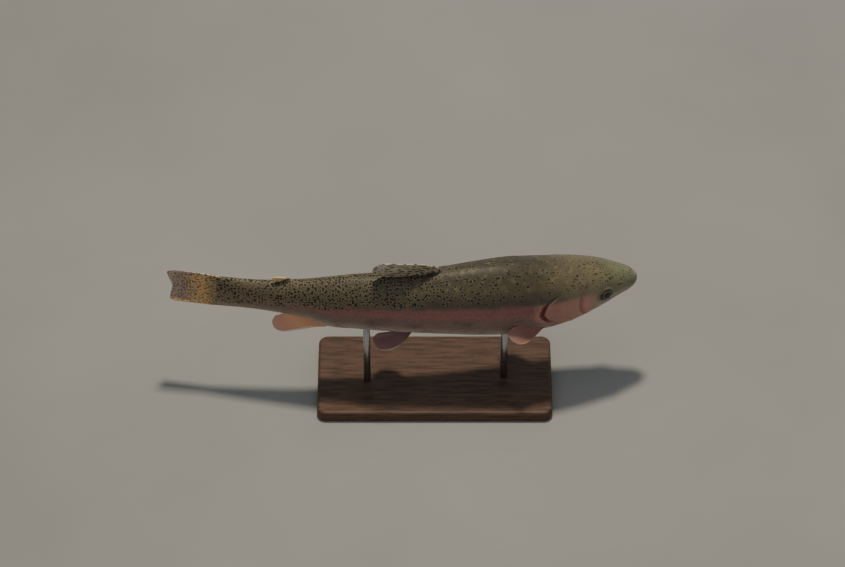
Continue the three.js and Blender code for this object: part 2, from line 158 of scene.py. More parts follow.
# %% Bend
AXIS_HEIGHT = 140.0
MIDDLE = 225
STRAIGHT_STATION = 260
REST_SIDE = -10.0
HEAD_YAW, TAIL_YAW = 13.2, 8.6
BEND_START, BEND_POWER = 90.0, 1.81
TAIL_TWIST, TWIST_START = 6.0, 425.0
SPINE_SPARE = 21


def yaw_at(t):
    u = np.clip((np.asarray(t, float) - BEND_START) / (TOTAL_LENGTH - BEND_START), 0, 1)
    return np.radians(HEAD_YAW - (HEAD_YAW + TAIL_YAW) * (1 - (1 - u) ** BEND_POWER))


spine_t = np.arange(0, TOTAL_LENGTH + SPINE_SPARE)
spine_yaw = yaw_at(spine_t[:-1] + 0.5)
spine_x = np.concatenate([[0], np.cumsum(-np.cos(spine_yaw))])
spine_y = np.concatenate([[0], np.cumsum(-np.sin(spine_yaw))])
spine_x -= spine_x[MIDDLE]
spine_y += REST_SIDE - spine_y[STRAIGHT_STATION]


def bend(points):
    """Straight-fish millimetres to metres in the frame."""
    points = np.asarray(points, float)
    t, s, h = points[..., 0], points[..., 1], points[..., 2]
    u = np.clip((t - TWIST_START) / (TOTAL_LENGTH - TWIST_START), 0, 1)
    roll = np.radians(TAIL_TWIST) * u * u * (3 - 2 * u)
    out = s * np.cos(roll) - h * np.sin(roll)
    up = h * np.cos(roll) + s * np.sin(roll)
    yaw = yaw_at(t)
    x = np.interp(t, spine_t, spine_x) - out * np.sin(yaw)
    y = np.interp(t, spine_t, spine_y) + out * np.cos(yaw)
    return np.stack([x, y, AXIS_HEIGHT + up], axis=-1) / 1000


tips = bend([[0, 0, 0], [TOTAL_LENGTH, 0, 0]])
print("snout at", tips[0].round(3), "tail at", tips[1].round(3))

# %% [markdown]
# ## Rings round the body
#
# A ring of the body is measured by girth: 0 on the middle of the back, 1 on the middle of the
# belly, negative on the fish's right. An angle round the axis would crowd the points where the
# section is flat. Girth spaces them evenly along the real arc, and it is also what the colours
# follow, because a trout's colours run in bands from back to belly.

# %% Rings of the body
ARC_STEPS = 241


def smooth(low, high, value):
    """0 below low, 1 above high, and an even slope between."""
    u = np.clip((np.asarray(value, float) - low) / (high - low), 0, 1)
    return u * u * (3 - 2 * u)


def bump(value, width):
    """1 where value is 0, falling off like a bell of that width."""
    return np.exp(-(np.asarray(value, float) / width) ** 2)


def body_rings(stations, girths):
    """Side and height of the plain body, and the arc from the back, for each station and girth."""
    angle = np.radians(np.linspace(90, -90, ARC_STEPS))
    c, d = np.abs(np.cos(angle)), np.sin(angle)
    side, height, arc = [], [], []
    for t in stations:
        nose, widest = nose_at(t), widest_at(t)
        power = np.where(d > 0, 2 / upper_at(t), 2 / lower_at(t))
        tall = np.where(d > 0, back_at(t) - widest, belly_at(t) + widest) * nose
        s = width_at(t) * nose * c**power
        h = widest * nose + tall * np.sign(d) * np.abs(d) ** power
        run = np.concatenate([[0], np.cumsum(np.hypot(np.diff(s), np.diff(h)))])
        here = np.abs(girths) * run[-1]
        side.append(np.interp(here, run, s) * np.sign(girths))
        height.append(np.interp(here, run, h))
        arc.append(here * np.sign(girths))
    return np.array(side), np.array(height), np.array(arc)


def side_at(t, h):
    """How far out the plain body's side lies at that place."""
    t, h = np.asarray(t, float), np.asarray(h, float)
    nose = nose_at(t)
    widest = widest_at(t) * nose
    power = np.where(h > widest, upper_at(t), lower_at(t))
    tall = np.where(h > widest, back_at(t) - widest_at(t), belly_at(t) + widest_at(t)) * nose
    part = np.minimum(0.985, np.abs(h - widest) / np.maximum(tall, 0.1))
    return width_at(t) * nose * (1 - part**power) ** (1 / power)


print("half width at the eye", round(float(side_at(40, 0)), 1), "mm")

# %% [markdown]
# ## From arrays to a mesh
#
# Blender can build a mesh from lists of points and faces. Operators such as Add Cylinder would leave
# each shape at a place and a turn of its own. Plain arrays keep every piece at the origin with its
# place in its mesh. Numbers stored at the points, such as girth, are read again by the materials.

# %% A mesh from arrays
def make_piece(name, points, faces, values=None, flat=None):
    """A mesh piece in metres. values are numbers at the points, flat is a UV place per corner."""
    mesh = bpy.data.meshes.new(name)
    mesh.from_pydata(np.asarray(points).reshape(-1, 3).tolist(), [], faces)
    mesh.polygons.foreach_set("use_smooth", [True] * len(mesh.polygons))
    for key, value in (values or {}).items():
        value = np.asarray(value, float)
        kind, field = ("FLOAT_VECTOR", "vector") if value.ndim == 2 else ("FLOAT", "value")
        mesh.attributes.new(key, kind, "POINT").data.foreach_set(field, value.ravel())
    if flat is not None:
        mesh.uv_layers.new(name="OFBake").data.foreach_set("uv", np.asarray(flat, float).ravel())
    mesh.update()
    piece = bpy.data.objects.new(name, mesh)
    bpy.context.scene.collection.objects.link(piece)
    return piece


def turn_outward(piece):
    """Turns the faces round if the closed mesh has come out inside out, by the sign of its volume."""
    mesh = piece.data
    mesh.calc_loop_triangles()
    place = np.empty(len(mesh.vertices) * 3)
    mesh.vertices.foreach_get("co", place)
    corner = np.empty(len(mesh.loop_triangles) * 3, int)
    mesh.loop_triangles.foreach_get("vertices", corner)
    a, b, c = place.reshape(-1, 3)[corner.reshape(-1, 3)].transpose(1, 0, 2)
    if np.einsum("ij,ij->i", a, np.cross(b, c)).sum() < 0:
        mesh.flip_normals()
    return piece


def triangles(piece):
    piece.data.calc_loop_triangles()
    return len(piece.data.loop_triangles)


print("mesh helpers ready:", make_piece.__name__, turn_outward.__name__, triangles.__name__)

# %% [markdown]
# ## The skin
#
# The real fish has one skin from snout to tail. It is one closed tube of rings here, fine on the
# head and coarser behind, where scales cover it. The head's features could be cut in with Booleans
# or sculpted. Here each is a formula that lifts or sinks the skin, says how pale it is, and paints
# the shade that falls in its grooves and pits. So both sides match, every size is a number in
# millimetres, and the mesh stays closed.
#
# The features are measured from a few lines of the head: the eye, the mouth, the outline of the
# gill cover, and the ridge in front of it.

# %% The lines of the head
EYE_T, EYE_H, EYE_RADIUS, EYE_BULGE = 40.5, 0.4, 7.2, 2.2
GAPE_FRONT, GAPE_REAR = (1.0, -5.0), (50.0, -21.5)
GAPE_SLOPE = (GAPE_REAR[1] - GAPE_FRONT[1]) / (GAPE_REAR[0] - GAPE_FRONT[0])
COVER_MIDDLE = (87.0, -8.0)
COVER_REAR, COVER_FRONT, COVER_TOP, COVER_BOTTOM = 24, 21, 24, 24.5
RIDGE_T, RIDGE_H, RIDGE_CURVE = 71.5, -2, 0.014


def cover_outline(angle):
    """The gill cover's outline on the side: a rounded square that leans forward below."""
    c, d = np.cos(angle), np.sin(angle)
    square = np.where(d > 0, 0.75, 0.88)
    h = COVER_MIDDLE[1] + np.where(d > 0, COVER_TOP, COVER_BOTTOM) * np.sign(d) * np.abs(d) ** square
    lean = np.where(d < 0, -0.5 * (COVER_MIDDLE[1] - h), -0.1 * (h - COVER_MIDDLE[1]))
    reach = np.where(c > 0, COVER_REAR, COVER_FRONT)
    t = COVER_MIDDLE[0] + reach * np.sign(c) * np.abs(c) ** square + lean
    return t, h


outline_t, outline_h = cover_outline(np.radians(np.arange(0, 360, 1.0)))
outline_angle = np.arctan2(outline_h - COVER_MIDDLE[1], outline_t - COVER_MIDDLE[0])
outline_reach = np.hypot(outline_h - COVER_MIDDLE[1], outline_t - COVER_MIDDLE[0])
outline_order = np.argsort(outline_angle)


def inside_cover(t, h):
    """How far inside the gill cover's outline a point of the side lies, and at what angle."""
    angle = np.arctan2(h - COVER_MIDDLE[1], t - COVER_MIDDLE[0])
    reach = np.interp(angle, outline_angle[outline_order], outline_reach[outline_order],
                      period=2 * math.pi)
    return reach - np.hypot(h - COVER_MIDDLE[1], t - COVER_MIDDLE[0]), angle


print("gill cover", round(float(outline_t.max() - outline_t.min()), 1), "mm long")


# %% Where a point of the skin is on the head
def gape_height(t):
    return GAPE_FRONT[1] + GAPE_SLOPE * (t - GAPE_FRONT[0])


def gap_to(here, t, h):
    """Distance in space from a point on the side of the head, in mm."""
    return np.sqrt((here.t - t) ** 2 + (here.out - side_at(t, h)) ** 2 + (here.h - h) ** 2)


def head_place(t, s, h, girth):
    """The measures that the features of the head are built on, for each point of the skin."""
    t, s, h = np.broadcast_arrays(t, s, h)
    here = SimpleNamespace(t=t, out=np.abs(s), h=h, girth=np.abs(girth))
    here.on_side = smooth(0.10, 0.22, here.girth)
    here.from_eye = gap_to(here, EYE_T, EYE_H)
    here.over_gape = (h - gape_height(t)) * math.cos(math.atan(GAPE_SLOPE))
    here.inside, angle = inside_cover(t, h)
    degrees = np.degrees(angle)
    here.free = smooth(-128, -100, degrees) * (1 - smooth(50, 76, degrees)) * here.on_side
    here.past_ridge = t - (RIDGE_T - RIDGE_CURVE * (h - RIDGE_H) ** 2)
    return here


print("mouth falls", round(GAPE_FRONT[1] - GAPE_REAR[1], 1), "mm from snout to corner")

# %% [markdown]
# The eye of a trout sits in a shallow seat, and the soft rim round it is highest at the brow. The
# shade in the seat and in the fold next to the eye is painted dark on the skin. A ring of geometry
# could be joined on, but a bell curve round the eye gives the same soft swelling with no seam.

# %% Seat and rim of the eye
SEAT_DEPTH, SEAT_FROM, SEAT_TO = 1.6, 5.4, 6.9
RIM_RADIUS, RIM_WIDTH, RIM_HEIGHT, BROW_HEIGHT = 8.3, 1.2, 0.28, 0.12
FOLD_RADIUS, FOLD_WIDTH, FOLD_DEPTH = 11.2, 1.4, 0.22


def eye_seat(here, look):
    r = here.from_eye
    over, behind = here.h - EYE_H, here.t - EYE_T
    rim = RIM_HEIGHT + BROW_HEIGHT * smooth(1.0, 5.0, over)
    look.relief -= SEAT_DEPTH * (1 - smooth(SEAT_FROM, SEAT_TO, r))
    look.relief += rim * bump(r - RIM_RADIUS, RIM_WIDTH) - FOLD_DEPTH * bump(r - FOLD_RADIUS, FOLD_WIDTH)
    # painted shade: dark at the edge of the seat and in the fold behind the eye
    look.dark += 0.75 * bump(r - EYE_RADIUS, 0.9) + 0.45 * bump(r - 9.4, 1.5) * smooth(-2.0, 5.0, behind)
    look.pale += 0.12 * bump(r - 9.0, 1.3) * smooth(2.5, 6.0, over)


print("eye seat", SEAT_DEPTH, "mm deep")

# %% [markdown]
# The mouth is shut. It is a fine groove that runs back from the tip of the snout, with the lower
# jaw set in under it. Above it lies the upper jaw bone, a narrow leaf that ends behind the eye. A
# separate bone would need its own edge hidden in the skin, so the leaf is raised out of the skin.

# %% Mouth and upper jaw bone
GAPE_DEPTH, GAPE_WIDTH = 0.9, 0.75
JAW_INSET, JAW_SPREAD = 0.9, 3.0
BONE_MIDDLE, BONE_HALF, BONE_OVER = 32.5, 19.5, 1.4
BONE_HEIGHT, BONE_EDGE = 0.75, 0.35


def mouth_line(here, look):
    over = here.over_gape
    in_front = 1 - smooth(45, 53, here.t)
    look.relief -= GAPE_DEPTH * bump(over, GAPE_WIDTH) * in_front
    look.relief -= JAW_INSET * np.where(over < 0, np.exp(np.minimum(over, 0) / JAW_SPREAD), 0) * in_front
    look.relief += 0.35 * bump(over - 1.6, 1.0) * in_front * (1 - smooth(10, 18, here.t))
    # painted shade in the groove of the mouth
    look.dark += 0.9 * bump(over, 0.6) * in_front


def jaw_bone(here, look):
    along = (here.t - BONE_MIDDLE) / BONE_HALF
    half = (2.9 + 1.0 * along) * np.sqrt(np.clip(1 - along**2, 0, 1))
    leaf = np.where(np.abs(along) < 1, half - np.abs(here.over_gape - BONE_OVER), -9)
    look.relief += BONE_HEIGHT * smooth(-0.3, 0.7, leaf) - BONE_EDGE * bump(leaf + 0.5, 0.6)
    look.pale += 0.8 * smooth(-0.2, 0.8, leaf)
    under_eye = smooth(8, 20, here.t) * (1 - smooth(56, 68, here.t))
    look.pale += 0.55 * bump(here.over_gape - 6.0, 1.7) * under_eye * smooth(8.5, 11.5, here.from_eye)
    # painted shade in the groove round the bone's edge
    look.dark += 0.35 * bump(leaf + 0.3, 0.5)


print("upper jaw bone", 2 * BONE_HALF, "mm long")

# %% [markdown]
# A trout has two small nostrils on each side with a flap of skin between them, and a row of pores
# along the jaw and under the eye, where its sense organs open. Real holes would be too fine to
# show, so each is a small pit with its shade painted dark.

# %% Nostrils and pores
NOSTRILS = ((22.0, 7.0, 1.0), (25.2, 7.6, 1.25))
PORE_DEPTH, PORE_WIDTH = 0.5, 0.7
JAW_PORES, JAW_PORE_STEP, JAW_PORE_DROP = 5, 8.5, 5.4
EYE_PORE_RADIUS, EYE_PORE_ANGLES = 12.4, (-16, 12, 40, 68)


def nostrils(here, look):
    for t, h, size in NOSTRILS:
        n = gap_to(here, t, h)
        look.relief -= 1.2 * bump(n, size)
        look.relief += 0.25 * bump(n - 2.0, 0.6)
        # painted shade inside the nostril
        look.dark += 0.95 * bump(n, size * 0.9)


def pore_places():
    jaw_row = [(12 + JAW_PORE_STEP * k, gape_height(12 + JAW_PORE_STEP * k) - JAW_PORE_DROP)
               for k in range(JAW_PORES)]
    eye_bow = [(EYE_T + EYE_PORE_RADIUS * math.cos(a), EYE_H - EYE_PORE_RADIUS * math.sin(a))
               for a in np.radians(EYE_PORE_ANGLES)]
    return jaw_row + eye_bow


def pores(here, look):
    for t, h in pore_places():
        pore = np.hypot(here.t - t, here.h - h)
        look.relief -= PORE_DEPTH * bump(pore, PORE_WIDTH)
        # painted shade inside the pore
        look.dark += 0.45 * bump(pore, 0.6)


print("nostrils and", len(pore_places()), "pores a side")

# %% [markdown]
# The gill cover is a set of thin bony plates, free along the rear and lower edge, with a slit
# behind it. Its edge runs on forward under the cheek. In front of it a crescent ridge stands
# behind the cheek, a seam crosses the plates, and fine spokes run back over them. A separate lid
# would leave a gap to fill at the front, where the real one grows out of the head, so the cover
# stays part of the skin: it is raised toward its free edge, and the slit is sunk.

# %% Free edge of the gill cover
COVER_LIFT, SLIT_DEPTH, SLIT_BEHIND, SLIT_WIDTH = 0.8, 1.8, 1.5, 1.35
RIM_FALL = (80, -33.0, 0.22)


def cover_edge(here, look):
    inside = here.inside
    look.relief += COVER_LIFT * smooth(-0.6, 1.1, inside) * here.free * (1 - smooth(2, 16, inside))
    look.relief -= SLIT_DEPTH * bump(inside + SLIT_BEHIND, SLIT_WIDTH) * here.free
    # painted shade in the slit behind the free edge
    look.dark += 0.9 * bump(inside + 1.0, 0.8) * here.free


def throat_rim(here, look):
    """The same edge runs on forward under the cheek, as the rim of the throat folds."""
    start, height, slope = RIM_FALL
    rim = here.h - (height + slope * (start - here.t))
    on_rim = smooth(46, 54, here.t) * (1 - smooth(78, 84, here.t)) * here.on_side
    step = 0.35 * smooth(-0.4, 0.6, rim) * (1 - smooth(1, 7, rim))
    look.relief += (step - 0.9 * bump(rim + 0.9, 0.9)) * on_rim
    # painted shade under the fold of the rim
    look.dark += 0.5 * bump(rim + 0.8, 0.8) * on_rim


print("slit", SLIT_DEPTH, "mm deep")


# %% Bones of the cheek and the gill cover
def cheek_ridge(here, look):
    ridge = here.past_ridge
    on_cheek = smooth(-31, -26, here.h) * (1 - smooth(9, 14, here.h)) * here.on_side
    look.relief += (0.35 * bump(ridge + 1.3, 1.3) - 0.5 * bump(ridge, 0.9)) * on_cheek
    # painted shade in the groove at the ridge
    look.dark += 0.38 * bump(ridge, 0.8) * on_cheek
    look.pale += 0.3 * bump(ridge - 3.4, 0.9) * on_cheek


def cover_seam(here, look):
    seam = here.h - (-23.0 + 0.36 * (here.t - 76))
    on_seam = smooth(73, 79, here.t) * smooth(1.5, 5, here.inside)
    look.relief -= 0.32 * bump(seam, 0.9) * on_seam
    # painted shade in the seam
    look.dark += 0.16 * bump(seam, 0.7) * on_seam


def cover_spokes(here, look):
    wheel = np.sin(16 * np.arctan2(here.h - 6, here.t - 68))
    spokes = wheel * smooth(4, 12, here.t - 68) * smooth(1, 6, here.inside)
    look.relief += 0.05 * spokes * here.on_side


print("ridge", round(RIDGE_T - EYE_T, 1), "mm behind the eye")

# %% [markdown]
# Under the head a groove runs along the middle of the throat, with folds on both sides that spread
# when the fish breathes. Where a fin grows out, the flesh swells a little, so the fin doesn't look
# stuck on.

# %% Throat and roots of the fins
FOLD_STEP, FOLD_HEIGHT = 3.4, 0.28
ROOT_SWELL, ROOT_HALF = 1.3, 3.0
FIN_ROOTS = ((214, 279, 1), (376, 393, 1), (336, 381, -1))


def throat_folds(here, look):
    throat = smooth(44, 56, here.t) * (1 - smooth(84, 98, here.t))
    look.relief -= 1.3 * bump(here.out, 1.8) * throat * (here.h < 0)
    fold = smooth(0.82, 0.88, here.girth) * throat
    wave = np.cos(2 * math.pi * (here.out * 0.9 + (here.t - 50) * 0.12) / FOLD_STEP)
    look.relief += FOLD_HEIGHT * wave * fold
    # painted shade in the hollows between the folds
    look.dark += 0.25 * smooth(0.4, 1.0, -wave) * fold


def fin_roots(here, look):
    for start, end, top in FIN_ROOTS:
        run = smooth(start - 4, start + 4, here.t) * (1 - smooth(end - 4, end + 4, here.t))
        look.relief += ROOT_SWELL * bump(here.out, ROOT_HALF) * run * (np.sign(here.h) == top)


print("swellings for", len(FIN_ROOTS), "fins of the middle line")

# %% [markdown]
# The cheek and the gill cover of a grown rainbow trout are rose, and the slit shows a little of the
# dark red gills. These are soft masks on the same lines, so colour and relief can't drift apart.

# %% Red parts of the head, and all features together
FEATURES = (eye_seat, mouth_line, jaw_bone, nostrils, pores, cover_edge, throat_rim, cheek_ridge,
            cover_seam, cover_spokes, throat_folds, fin_roots)


def red_parts(here):
    """Masks of the rose cheek and gill cover, of the red in the slit, and of the line at the ridge."""
    t, h, inside = here.t, here.h, here.inside
    rose = smooth(-14.0, -3.0, inside) * (1 - smooth(5, 12, h)) * smooth(-40, -28, h)
    cheek = smooth(48, 56, t) * (1 - smooth(72, 80, t)) * (1 - smooth(3, 9, h)) * smooth(-12, -4, h)
    rosy = np.maximum(rose, 0.65 * cheek) * here.on_side
    gill = smooth(-7.4, -4.0, inside) * (1 - smooth(-0.5, 0.3, inside)) * here.free * smooth(-26, -16, h)
    line = bump(here.past_ridge + 1.6, 2.4) * smooth(-30, -22, h) * (1 - smooth(4, 11, h)) * here.on_side
    return rosy, gill * (1 - smooth(5, 11, h)), line


def head_look(t, s, h, girth):
    """Relief of the skin in mm, the painted shade of its grooves and pits, and how pale, rosy and red each
    point is.
    """
    here = head_place(t, s, h, girth)
    look = SimpleNamespace(**{key: np.zeros_like(here.t) for key in ("relief", "dark", "pale")})
    for feature in FEATURES:
        feature(here, look)
    look.dark, look.pale = np.clip(look.dark, 0, 1), np.clip(look.pale, 0, 1)
    look.rosy, look.slit, look.ridge_line = red_parts(here)
    return look


print("features of the head:", len(FEATURES))

# %% [markdown]
# ## Rings of the skin
#
# The rings stand close on the head, closest over the gill cover, and wide apart behind it. An even
# mesh fine enough for the head would be several times heavier. Where scales grow, the skin lies
# inside the solids by the depth of the coat. It tapers off inside the root of the tail fin.

# %% Rings of the skin
TAPER_START, SKIN_END = 456.0, 473.0
COLUMNS = 320
HEAD_STEP, COVER_STEP, TRUNK_STEP = 0.8, 0.6, 2.7
COVER_STEPS_FROM, COVER_STEPS_TO, TRUNK_STEPS_FROM = 60, 114, 115
COAT_DEPTH = 0.45

nose_steps = NOSE * (1 - np.cos(np.linspace(0, math.pi / 2, 17)[1:]))
skin_stations = np.concatenate([
    nose_steps, np.arange(NOSE + HEAD_STEP, COVER_STEPS_FROM, HEAD_STEP),
    np.arange(COVER_STEPS_FROM, COVER_STEPS_TO, COVER_STEP),
    np.arange(TRUNK_STEPS_FROM, TAPER_START, TRUNK_STEP), np.linspace(TAPER_START, SKIN_END, 8)])
skin_girths = -1 + 2 * np.arange(COLUMNS) / COLUMNS


def stalk_taper(t):
    return 1 - 0.8 * smooth(TAPER_START, SKIN_END, t)


def straight_normals(points):
    """Outward normals of a grid of rings, rings first, wrapped around."""
    along = np.gradient(points, axis=0)
    around = (np.roll(points, -1, 1) - np.roll(points, 1, 1)) / 2
    normal = np.cross(along, around)
    return normal / np.maximum(np.linalg.norm(normal, axis=-1, keepdims=True), 1e-9)


def coat_start(t, h, girth):
    """1 where scales cover the skin, 0 on the bare head. It rises slowly behind the nape, so the
    first scales come out of the skin little by little."""
    inside, _ = inside_cover(t, h)
    nape = 82 + 14 * smooth(0.05, 0.30, np.abs(girth)) - 8 * smooth(0.8, 1.0, np.abs(girth))
    return smooth(0, 14, t - nape) * smooth(3.2, 5.2, -inside)


side, height, arc = body_rings(skin_stations, skin_girths)
side = side * stalk_taper(skin_stations)[:, None]
ring_t = np.repeat(skin_stations[:, None], COLUMNS, 1)
ring_girth = np.repeat(skin_girths[None], len(skin_stations), 0)
rings = np.stack([ring_t, side, height], -1)
normals = straight_normals(rings)
head = head_look(ring_t, side, height, ring_girth)
scaled = coat_start(ring_t, height, ring_girth)
rings = rings + normals * (head.relief - COAT_DEPTH * scaled)[..., None]
print("skin rings", len(skin_stations), "relief", round(float(head.relief.min()), 2), "to",
      round(float(head.relief.max()), 2), "mm")

# %% [markdown]
# The rings are joined into one closed tube with a point at each end, and unrolled like a label, on
# which colours can be baked. The head gets almost half of that unwrap, because its markings are the finest.

# %% Skin mesh
HEAD_END, HEAD_SHARE = 112, 0.45
UNWRAP_EDGE, UNWRAP_SIZE = 0.01, 0.98
CAP_END = SKIN_END + 1


def flat_place(t, girth):
    """Place on the unwrap of the skin: along the fish by t, around by girth, 0 to 1."""
    rest = (UNWRAP_SIZE - HEAD_SHARE) * (t - HEAD_END) / (CAP_END - HEAD_END)
    u = np.where(t < HEAD_END, UNWRAP_EDGE + HEAD_SHARE * t / HEAD_END, UNWRAP_EDGE + HEAD_SHARE + rest)
    return np.stack([u, UNWRAP_EDGE + UNWRAP_SIZE * (np.asarray(girth) + 1) / 2], -1)


def tube(rings, girths, front, rear):
    """Points, faces and unwrap of a closed tube with a point at each end."""
    rows, columns = rings.shape[:2]
    points = np.concatenate([rings.reshape(-1, 3), [front, rear]])
    first, last, end = rows * columns, rows * columns + 1, (rows - 1) * columns
    t = rings[:, columns // 2, 0]
    g = np.append(girths, 1.0)
    faces, corners = [], []
    for j in range(columns):
        k = (j + 1) % columns
        faces.append((first, k, j))
        corners += [(0, (g[j] + g[j + 1]) / 2), (t[0], g[j + 1]), (t[0], g[j])]
        for i in range(rows - 1):
            a, b = i * columns, (i + 1) * columns
            faces.append((a + j, a + k, b + k, b + j))
            corners += [(t[i], g[j]), (t[i], g[j + 1]), (t[i + 1], g[j + 1]), (t[i + 1], g[j])]
        faces.append((end + j, end + k, last))
        corners += [(t[-1], g[j]), (t[-1], g[j + 1]), (CAP_END, (g[j] + g[j + 1]) / 2)]
    corners = np.array(corners)
    return points, faces, flat_place(corners[:, 0], corners[:, 1])


def with_ends(values, front, rear):
    """Values of the rings in one list, with those of the two end points added."""
    values = np.asarray(values, float)
    return np.concatenate([values.reshape(-1, *values.shape[2:]), [front, rear]])


skin_points, skin_faces, skin_flat = tube(rings, skin_girths, (0, 0, -0.4), (CAP_END, 0, 0))
skin_values = {
    "flat": with_ends(np.stack([ring_t, arc, np.zeros_like(arc)], -1), (0, 0, 0), (SKIN_END, 0, 0)),
    "girth": with_ends(np.abs(ring_girth), 0.5, 0.5),
    "rise": with_ends(height, 0, 0),
    "rosy": with_ends(head.rosy, 0, 0),
    # the painted shade of the grooves and pits of the head
    "dark": with_ends(head.dark, 0.2, 0),
    "slit": with_ends(head.slit, 0, 0),
    "pale": with_ends(head.pale, 0, 0),
    "ridge_line": with_ends(head.ridge_line, 0, 0),
}
skin = turn_outward(make_piece("trout_skin", bend(skin_points), skin_faces, skin_values, skin_flat))
print("skin:", triangles(skin), "triangles")

# %% [markdown]
# ## Scales
#
# A trout's scale is a thin clear plate, rounded at its free end, its front end set in the skin. Here
# it has eight corners, a slight dome and a real thickness. A bump texture would be lighter, but it
# would leave the silhouette and the mesh smooth. Thirty triangles are enough, because thousands
# of copies are laid.

# %% One scale
SCALE_LONG, SCALE_WIDE, SCALE_THICK, SCALE_DOME = 4.0, 2.75, 0.10, 0.10
SCALE_SIDE = [(0.0, 0.28), (0.4, 0.5), (0.78, 0.42), (0.97, 0.17)]
DOME_AT = 0.55


def scale_plate():
    """One plate in metres, its front end at the origin. local keeps each point's place in mm."""
    outline = SCALE_SIDE + [(x, -y) for x, y in reversed(SCALE_SIDE)]
    n = len(outline)
    flat = [(x * SCALE_LONG, y * SCALE_WIDE) for x, y in outline] + [(DOME_AT * SCALE_LONG, 0)]
    top = np.column_stack([flat, [0] * n + [SCALE_DOME]])
    bottom = np.column_stack([flat[:n], [-SCALE_THICK] * n])
    points = np.concatenate([top, bottom])
    faces = [(n, i, (i + 1) % n) for i in range(n)]
    faces += [((i + 1) % n, i, n + 1 + i, n + 1 + (i + 1) % n) for i in range(n)]
    faces += [tuple(2 * n - i for i in range(n))]
    piece = make_piece("scale_plate", points / 1000, faces, {"local": points})
    upper = [sum(v < n for v in e.vertices) == 2 for e in piece.data.edges]
    lower = [sum(v > n for v in e.vertices) == 2 for e in piece.data.edges]
    sharp = [u or w for u, w in zip(upper, lower)]
    piece.data.attributes.new("sharp_edge", "BOOLEAN", "EDGE").data.foreach_set("value", sharp)
    return turn_outward(piece)


plate = scale_plate()
print("one scale:", triangles(plate), "triangles")

# %% [markdown]
# Scales are set in rows that run along the body, each row half a step off its neighbours. They
# could be scattered at random, but then gaps and piles would show. Here they are counted from the
# lateral line up and down, so rows run out at the back and the belly as the body narrows, as on the
# real fish. They are smaller behind the head and on the stalk of the tail.

# %% Rows of scales
ROW_STEP, LINE_STEP = 2.7, 2.2
FIRST_ROW, LAST_ROW = 80.0, 466.5
LATERAL_H = -2.0
MOST_LINES = 80
EDGE_SPARE = 0.25


def scale_size(t):
    """Size of a scale at that place, as a share of the full size."""
    return 0.80 + 0.20 * smooth(92, 125, t) - 0.22 * smooth(330, 430, t) - 0.14 * smooth(446, 464, t)


def scale_rows():
    """Stations of the rows of scales: closer together where the scales are small."""
    stations, t = [], FIRST_ROW
    while t < LAST_ROW:
        stations.append(t)
        t += ROW_STEP * float(scale_size(t))
    return np.array(stations)


def row_arcs(i, t):
    """Arc from the back to each scale of a row on one side, the whole arc, and which lies on the line."""
    _, high, run = body_rings([t], np.linspace(0.0, 1.0, 201))
    full = run[0, -1]
    line = np.interp(LATERAL_H, -high[0], run[0])
    step = LINE_STEP * float(scale_size(t))
    k = np.arange(-MOST_LINES, MOST_LINES + 1) + 0.5 * (i % 2)
    arc_here = line + k * step
    keep = (arc_here > EDGE_SPARE * step) & (arc_here < full - EDGE_SPARE * step)
    return arc_here[keep], full, k[keep] == 0


print("rows:", len(scale_rows()))

# %% [markdown]
# Each root needs a place on the skin, the way out and the way to the tail. These come from the same
# rings as the skin, measured a little before and behind, so no ray has to be shot at the mesh.

# %% Roots of the scales
BARE_BELOW = 0.08
ROOT_SUNK = 0.02
TAIL_EDGE, TAIL_EDGE_BOW, TAIL_EDGE_HALF = 467, 8, 23
ROOT_SEED = 7


def root_grid(t, girth):
    """Points of the body at one station, with the outward normal and the direction to the tail."""
    near = np.array([t - 0.5, t, t + 0.5])
    grid = []
    for shift in (-0.004, 0.0, 0.004):
        s, h, _ = body_rings(near, girth + shift)
        s = s * stalk_taper(near)[:, None]
        grid.append(np.stack([np.repeat(near[:, None], len(girth), 1), s, h], -1))
    along = grid[1][2] - grid[1][0]
    around = grid[2][1] - grid[0][1]
    normal = np.cross(along, around)
    normal /= np.linalg.norm(normal, axis=-1, keepdims=True)
    along /= np.linalg.norm(along, axis=-1, keepdims=True)
    return grid[1][1], normal, along


def scale_roots():
    """Every root of the coat, as arrays by name."""
    rows = []
    chance = np.random.default_rng(ROOT_SEED)
    for i, t in enumerate(scale_rows()):
        arc_here, full, on_line = row_arcs(i, t)
        for way in (1, -1):
            girth = way * arc_here / full
            place, normal, along = root_grid(t, girth)
            root_t, s, h = place.T
            ragged = chance.uniform(-1, 1, len(girth))
            tail_edge = TAIL_EDGE - TAIL_EDGE_BOW * np.abs(h / TAIL_EDGE_HALF) ** 2 + ragged
            stay = (coat_start(root_t, h, girth) >= BARE_BELOW) & (root_t < tail_edge)
            skin_here = head_look(root_t, s, h, girth)
            row = {
                "place": place + normal * (skin_here.relief - COAT_DEPTH - ROOT_SUNK)[:, None],
                "normal": normal, "along": along, "arc": arc_here * way, "girth": girth,
                "size": np.full(len(girth), float(scale_size(t))), "line": on_line,
                "chance": chance.random(len(girth)), "rosy": skin_here.rosy}
            rows.append({key: value[stay] for key, value in row.items()})
    return {key: np.concatenate([row[key] for row in rows]) for key in rows[0]}


def bent_way(place, way):
    """The direction in the bent fish of a direction in the straight one."""
    return bend(place + way * 0.5) - bend(place - way * 0.5)


roots = scale_roots()
ahead = bent_way(roots["place"], roots["along"])
above = bent_way(roots["place"], roots["normal"])
print("scales:", len(roots["girth"]))

# %% [markdown]
# Colours are written as the hex values a colour picker shows, and one function turns them to the
# linear light that Blender counts in. One small function adds a node of any kind, with its inputs
# and its settings, to a shader tree or a geometry tree. So every line names the node it makes.

